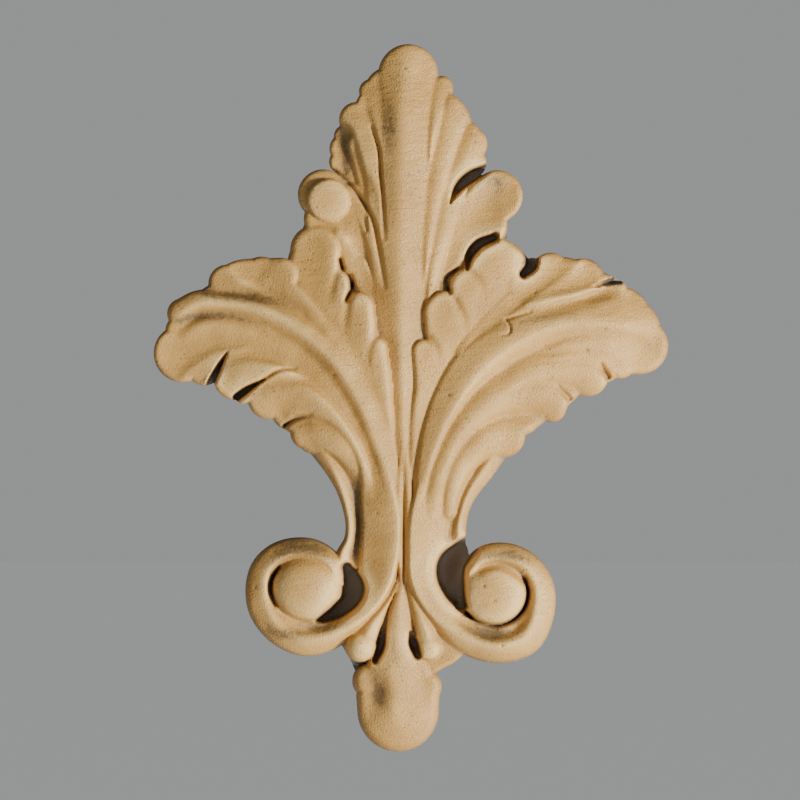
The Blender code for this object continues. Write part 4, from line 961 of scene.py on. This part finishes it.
def grain_group():
    """Group: place on the object -> height of the grain, a mask of specks, and a mask of glossy patches."""
    tree = bpy.data.node_groups.new("casting grain", "ShaderNodeTree")
    tree.interface.new_socket("Place", in_out="INPUT", socket_type="NodeSocketVector")
    tree.interface.new_socket("Coarseness", in_out="INPUT", socket_type="NodeSocketFloat")
    for name in ("Height", "Specks", "Gloss"):
        tree.interface.new_socket(name, in_out="OUTPUT", socket_type="NodeSocketFloat")
    entry = tree.nodes.new("NodeGroupInput")
    leave = tree.nodes.new("NodeGroupOutput")
    place, coarseness = entry.outputs["Place"], entry.outputs["Coarseness"]
    fine = noise(tree, place, arithmetic(tree, "DIVIDE", GRAIN_SCALE, coarseness), 2.0, 0.6)
    stretch = (RIPPLE_STRETCH, 1.0, 1.0)
    lengthwise = add(tree, "ShaderNodeMapping", (), Vector=place, Scale=stretch).outputs[0]
    ripples = noise(tree, lengthwise, arithmetic(tree, "DIVIDE", RIPPLE_SCALE, coarseness), 2.0, 0.5)
    height = arithmetic(tree, "ADD", fine, ripples)
    cells_apart = add(tree, "ShaderNodeTexVoronoi", (), Vector=place, Scale=SPECK_SCALE)
    small = spread(tree, cells_apart.outputs["Distance"], 0.24, 0.10)
    some = spread(tree, noise(tree, place, SPECK_CLUSTERS), 0.48, 0.62)
    worn = spread(tree, noise(tree, place, WORN_SCALE), 0.4, 0.6)
    tree.links.new(height, leave.inputs["Height"])
    tree.links.new(arithmetic(tree, "MULTIPLY", small, some), leave.inputs["Specks"])
    tree.links.new(arithmetic(tree, "MULTIPLY", spread(tree, fine, 0.5, 0.62), worn), leave.inputs["Gloss"])
    return tree


grain = grain_group()
print("grain group sockets:", [item.name for item in grain.interface.items_tree])

# %% [markdown]
# ## The finish
# The front is cast tan. Its colour is mixed in steps from the attributes: a cloudy body, a painted
# highlight on the crests, then painted shade in the hollows, light, then brown, then grey as the hollows
# deepen down to the webs, and dirt and painted shade in patches, partly even and partly broken up by
# noise into speckles.

# %% The front's material
BODY_TAN = (0.63, 0.357, 0.095, 1)
# The pale tan is the painted highlight on the crests.
PAINTED_HIGHLIGHT_TAN = (0.81, 0.53, 0.195, 1)
WARM_TAN = (0.50, 0.272, 0.066, 1)
# Painted shade for the hollows, from shallow to deep and on the webs.
PAINTED_SHADE_BROWN = (0.27, 0.195, 0.115, 1)
HOLLOW_PAINTED_SHADE_BROWN = (0.13, 0.092, 0.062, 1)
WEB_PAINTED_SHADE_GREY = (0.26, 0.23, 0.20, 1)
# The colour of the dirt and painted shade patches and of the grain's specks.
DIRT_AND_SHADE_BROWN = (0.11, 0.070, 0.030, 1)
GRAIN_DEPTH = 0.00022     # metres of bump
ROUGHNESS = 0.48
BACK_ROUGHNESS = 0.75
GLOSS = 0.30              # how much smoother the glossy patches are
CLOUD_SCALE = 55.0        # waves for each metre
MOTTLE_SCALE = 900.0
MOTTLING = 0.8            # how far the mottling shifts the edge of a shade, in mm of depth
EVEN_DIRT_AND_SHADE = 0.45
BROKEN_DIRT_AND_SHADE = 0.8
SPECK_STRENGTH = 0.7
# Steps of painted shade in the hollows: depth in mm where each begins and is full, its strength and its
# colour
PAINTED_SHADE_STEPS = ((0.8, 2.4, 0.75, PAINTED_SHADE_BROWN), (2.2, 4.2, 1.0, HOLLOW_PAINTED_SHADE_BROWN), (5.0, 7.0, 1.0, WEB_PAINTED_SHADE_GREY))


def resin_front():
    """The front, with painted shade in its hollows and a painted highlight on its crests."""
    material, tree, shader, place = resin("tan resin, painted shade and highlight")
    mask = {name: add(tree, "ShaderNodeAttribute", {"attribute_name": name}).outputs["Fac"]
            for name in ("hollow", "crest", "dirt_and_shade")}
    grained = add(tree, "ShaderNodeGroup", {"node_tree": grain}, Place=place, Coarseness=1.0)
    cloudy = noise(tree, place, CLOUD_SCALE, 4.0, 0.6)
    mottled = noise(tree, place, MOTTLE_SCALE, 3.0, 0.65)

    colour = blend(tree, spread(tree, cloudy, 0.3, 0.7), WARM_TAN, BODY_TAN)
    # Painted highlight: the crests, and some of the cloud, are lightened towards the pale tan.
    crest_highlight = spread(tree, arithmetic(tree, "ADD", mask["crest"], arithmetic(tree, "MULTIPLY", cloudy, 0.5)),
                    0.1, 1.1)
    colour = blend(tree, crest_highlight, colour, PAINTED_HIGHLIGHT_TAN)
    # Painted shade: the deeper a place lies below its surroundings, the darker it is painted, in steps down
    # to grey on the webs.
    depth = arithmetic(tree, "ADD", mask["hollow"], arithmetic(tree, "MULTIPLY", mottled, MOTTLING))
    for begins, full, strength, shade in PAINTED_SHADE_STEPS:
        shaded = arithmetic(tree, "MULTIPLY", spread(tree, depth, begins, full), strength)
        colour = blend(tree, shaded, colour, shade)
    # Dirt and painted shade in patches, part even and part broken up into speckles, then the dark specks of
    # the grain.
    broken = spread(tree, arithmetic(tree, "ADD", mask["dirt_and_shade"], mottled), 0.85, 1.5)
    for dirt_and_shade, strength in ((mask["dirt_and_shade"], EVEN_DIRT_AND_SHADE), (broken, BROKEN_DIRT_AND_SHADE),
                           (grained.outputs["Specks"], SPECK_STRENGTH)):
        colour = blend(tree, arithmetic(tree, "MULTIPLY", dirt_and_shade, strength), colour, DIRT_AND_SHADE_BROWN)
    tree.links.new(colour, shader.inputs["Base Color"])

    polished = arithmetic(tree, "MULTIPLY", grained.outputs["Gloss"], GLOSS)
    tree.links.new(arithmetic(tree, "SUBTRACT", ROUGHNESS, polished), shader.inputs["Roughness"])
    bump = add(tree, "ShaderNodeBump", (), Height=grained.outputs["Height"], Strength=1.0,
               Distance=GRAIN_DEPTH)
    tree.links.new(bump.outputs["Normal"], shader.inputs["Normal"])
    return material


mesh.materials.append(resin_front())
print("front material nodes:", len(mesh.materials[0].node_tree.nodes))

# %% [markdown]
# ## The plain back
# The back lay open in the mould and was scraped level, so it is plain: the body's two tans, a rougher
# surface, a coarser grain and faint scrape marks. The walls belong to the front.

# %% The back's material
def resin_back():
    """The scraped back: faint marks along one direction, from noise stretched along x."""
    material, tree, shader, place = resin("tan resin, scraped")
    stretched = add(tree, "ShaderNodeMapping", (), Vector=place, Scale=(0.06, 1.0, 1.0)).outputs[0]
    scrapes = noise(tree, stretched, MOTTLE_SCALE, 3.0, 0.6)
    grained = add(tree, "ShaderNodeGroup", {"node_tree": grain}, Place=place, Coarseness=1.4)
    colour = blend(tree, spread(tree, scrapes, 0.3, 0.7), WARM_TAN, BODY_TAN)
    tree.links.new(colour, shader.inputs["Base Color"])
    shader.inputs["Roughness"].default_value = BACK_ROUGHNESS
    height = arithmetic(tree, "ADD", grained.outputs["Height"], scrapes)
    bump = add(tree, "ShaderNodeBump", (), Height=height, Strength=0.8, Distance=GRAIN_DEPTH)
    tree.links.new(bump.outputs["Normal"], shader.inputs["Normal"])
    return material


mesh.materials.append(resin_back())
normals, centres = np.zeros((2, 3 * len(mesh.polygons)))
mesh.polygons.foreach_get("normal", normals)
mesh.polygons.foreach_get("center", centres)
on_back = (normals[1::3] > 0.99) & (centres[1::3] > -1e-6)
mesh.polygons.foreach_set("material_index", on_back.astype(np.int32))
print("faces on the back:", int(on_back.sum()))

# %% [markdown]
# ## Camera, light and floor
# The photograph looks straight at the front, so the camera does too, from far off through a long lens that
# keeps the outline true. The middle of its square picture lies a little left of and below the origin.
# A soft key light stands low on the right, about forty degrees in front of the moulding, and a weak one
# fills from the left. The moulding hangs well above a plain pale floor.

# %% The camera
CAMERA_DISTANCE = 1.5
VIEW_WIDTH = 0.2          # metres across the picture at the carving's middle level
MIDDLE_LEVEL = 0.007
PICTURE_MIDDLE = (-0.00075, -0.00025)

lens = bpy.data.cameras.new("long lens")
lens.sensor_width = 36.0
lens.lens = lens.sensor_width * (CAMERA_DISTANCE - MIDDLE_LEVEL) / VIEW_WIDTH
lens.clip_end = 100.0
camera = bpy.data.objects.new("camera", lens)
camera.location = (PICTURE_MIDDLE[0], -CAMERA_DISTANCE, PICTURE_MIDDLE[1])
camera.rotation_euler = (np.pi / 2, 0, 0)
bpy.context.scene.collection.objects.link(camera)
bpy.context.scene.camera = camera
print("focal length:", round(lens.lens), "mm")

# %% Lights
def area_light(name, place, aim, size, power, colour=(1, 1, 1)):
    """A square soft light at a place, turned to its aim."""
    lamp = bpy.data.lights.new(name, "AREA")
    lamp.size, lamp.energy, lamp.color = size, power, colour
    holder = bpy.data.objects.new(name, lamp)
    holder.location = place
    holder.rotation_euler = (Vector(aim) - Vector(place)).to_track_quat("-Z", "Y").to_euler()
    bpy.context.scene.collection.objects.link(holder)
    return holder


area_light("key", (0.80, -0.58, -0.13), (0, 0, 0), 0.2, 19.0, (1.0, 0.97, 0.92))
area_light("fill", (-0.6, -1.1, 0.3), (0, 0, 0), 0.8, 0.6)

# %% The floor and the pale surroundings
FLOOR_GAP = 0.36          # metres from the moulding's foot down to the floor
FLOOR_SIZE = 30.0
FLOOR_GLOW = 0.3          # keeps the floor pale away from the lights
AMBIENT = 0.13            # strength of the surroundings as a light
BACKDROP = 0.395          # their strength as the camera sees them


def pale_floor():
    """A plain square floor, well below the moulding, which is made to hang from its back but floats here."""
    half, level_z = FLOOR_SIZE / 2, cad_low[2] - FLOOR_GAP
    floor_mesh = bpy.data.meshes.new("floor")
    floor_mesh.from_pydata([(-half, -half, level_z), (half, -half, level_z), (half, half, level_z),
                            (-half, half, level_z)], [], [(0, 1, 2, 3)])
    material = bpy.data.materials.new("pale paper")
    material.use_nodes = True
    shader = material.node_tree.nodes["Principled BSDF"]
    shader.inputs["Base Color"].default_value = (0.8, 0.8, 0.78, 1)
    shader.inputs["Roughness"].default_value = 0.95
    shader.inputs["Emission Color"].default_value = (0.8, 0.81, 0.82, 1)
    shader.inputs["Emission Strength"].default_value = FLOOR_GLOW
    floor_mesh.materials.append(material)
    floor = bpy.data.objects.new("floor", floor_mesh)
    bpy.context.scene.collection.objects.link(floor)
    return floor


pale_floor()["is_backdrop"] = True
world = bpy.data.worlds.new("pale studio")
world.use_nodes = True
sky = world.node_tree
ambient = sky.nodes["Background"]
ambient.inputs["Color"].default_value = (0.80, 0.82, 0.84, 1)
ambient.inputs["Strength"].default_value = AMBIENT
seen = add(sky, "ShaderNodeBackground", (), Color=(0.80, 0.81, 0.82, 1), Strength=BACKDROP)
chooser = add(sky, "ShaderNodeMixShader", (), i0=add(sky, "ShaderNodeLightPath").outputs["Is Camera Ray"],
              i1=ambient.outputs[0], i2=seen.outputs[0])
sky.links.new(chooser.outputs[0], sky.nodes["World Output"].inputs["Surface"])
bpy.context.scene.world = world
print("floor is", FLOOR_SIZE, "m wide")
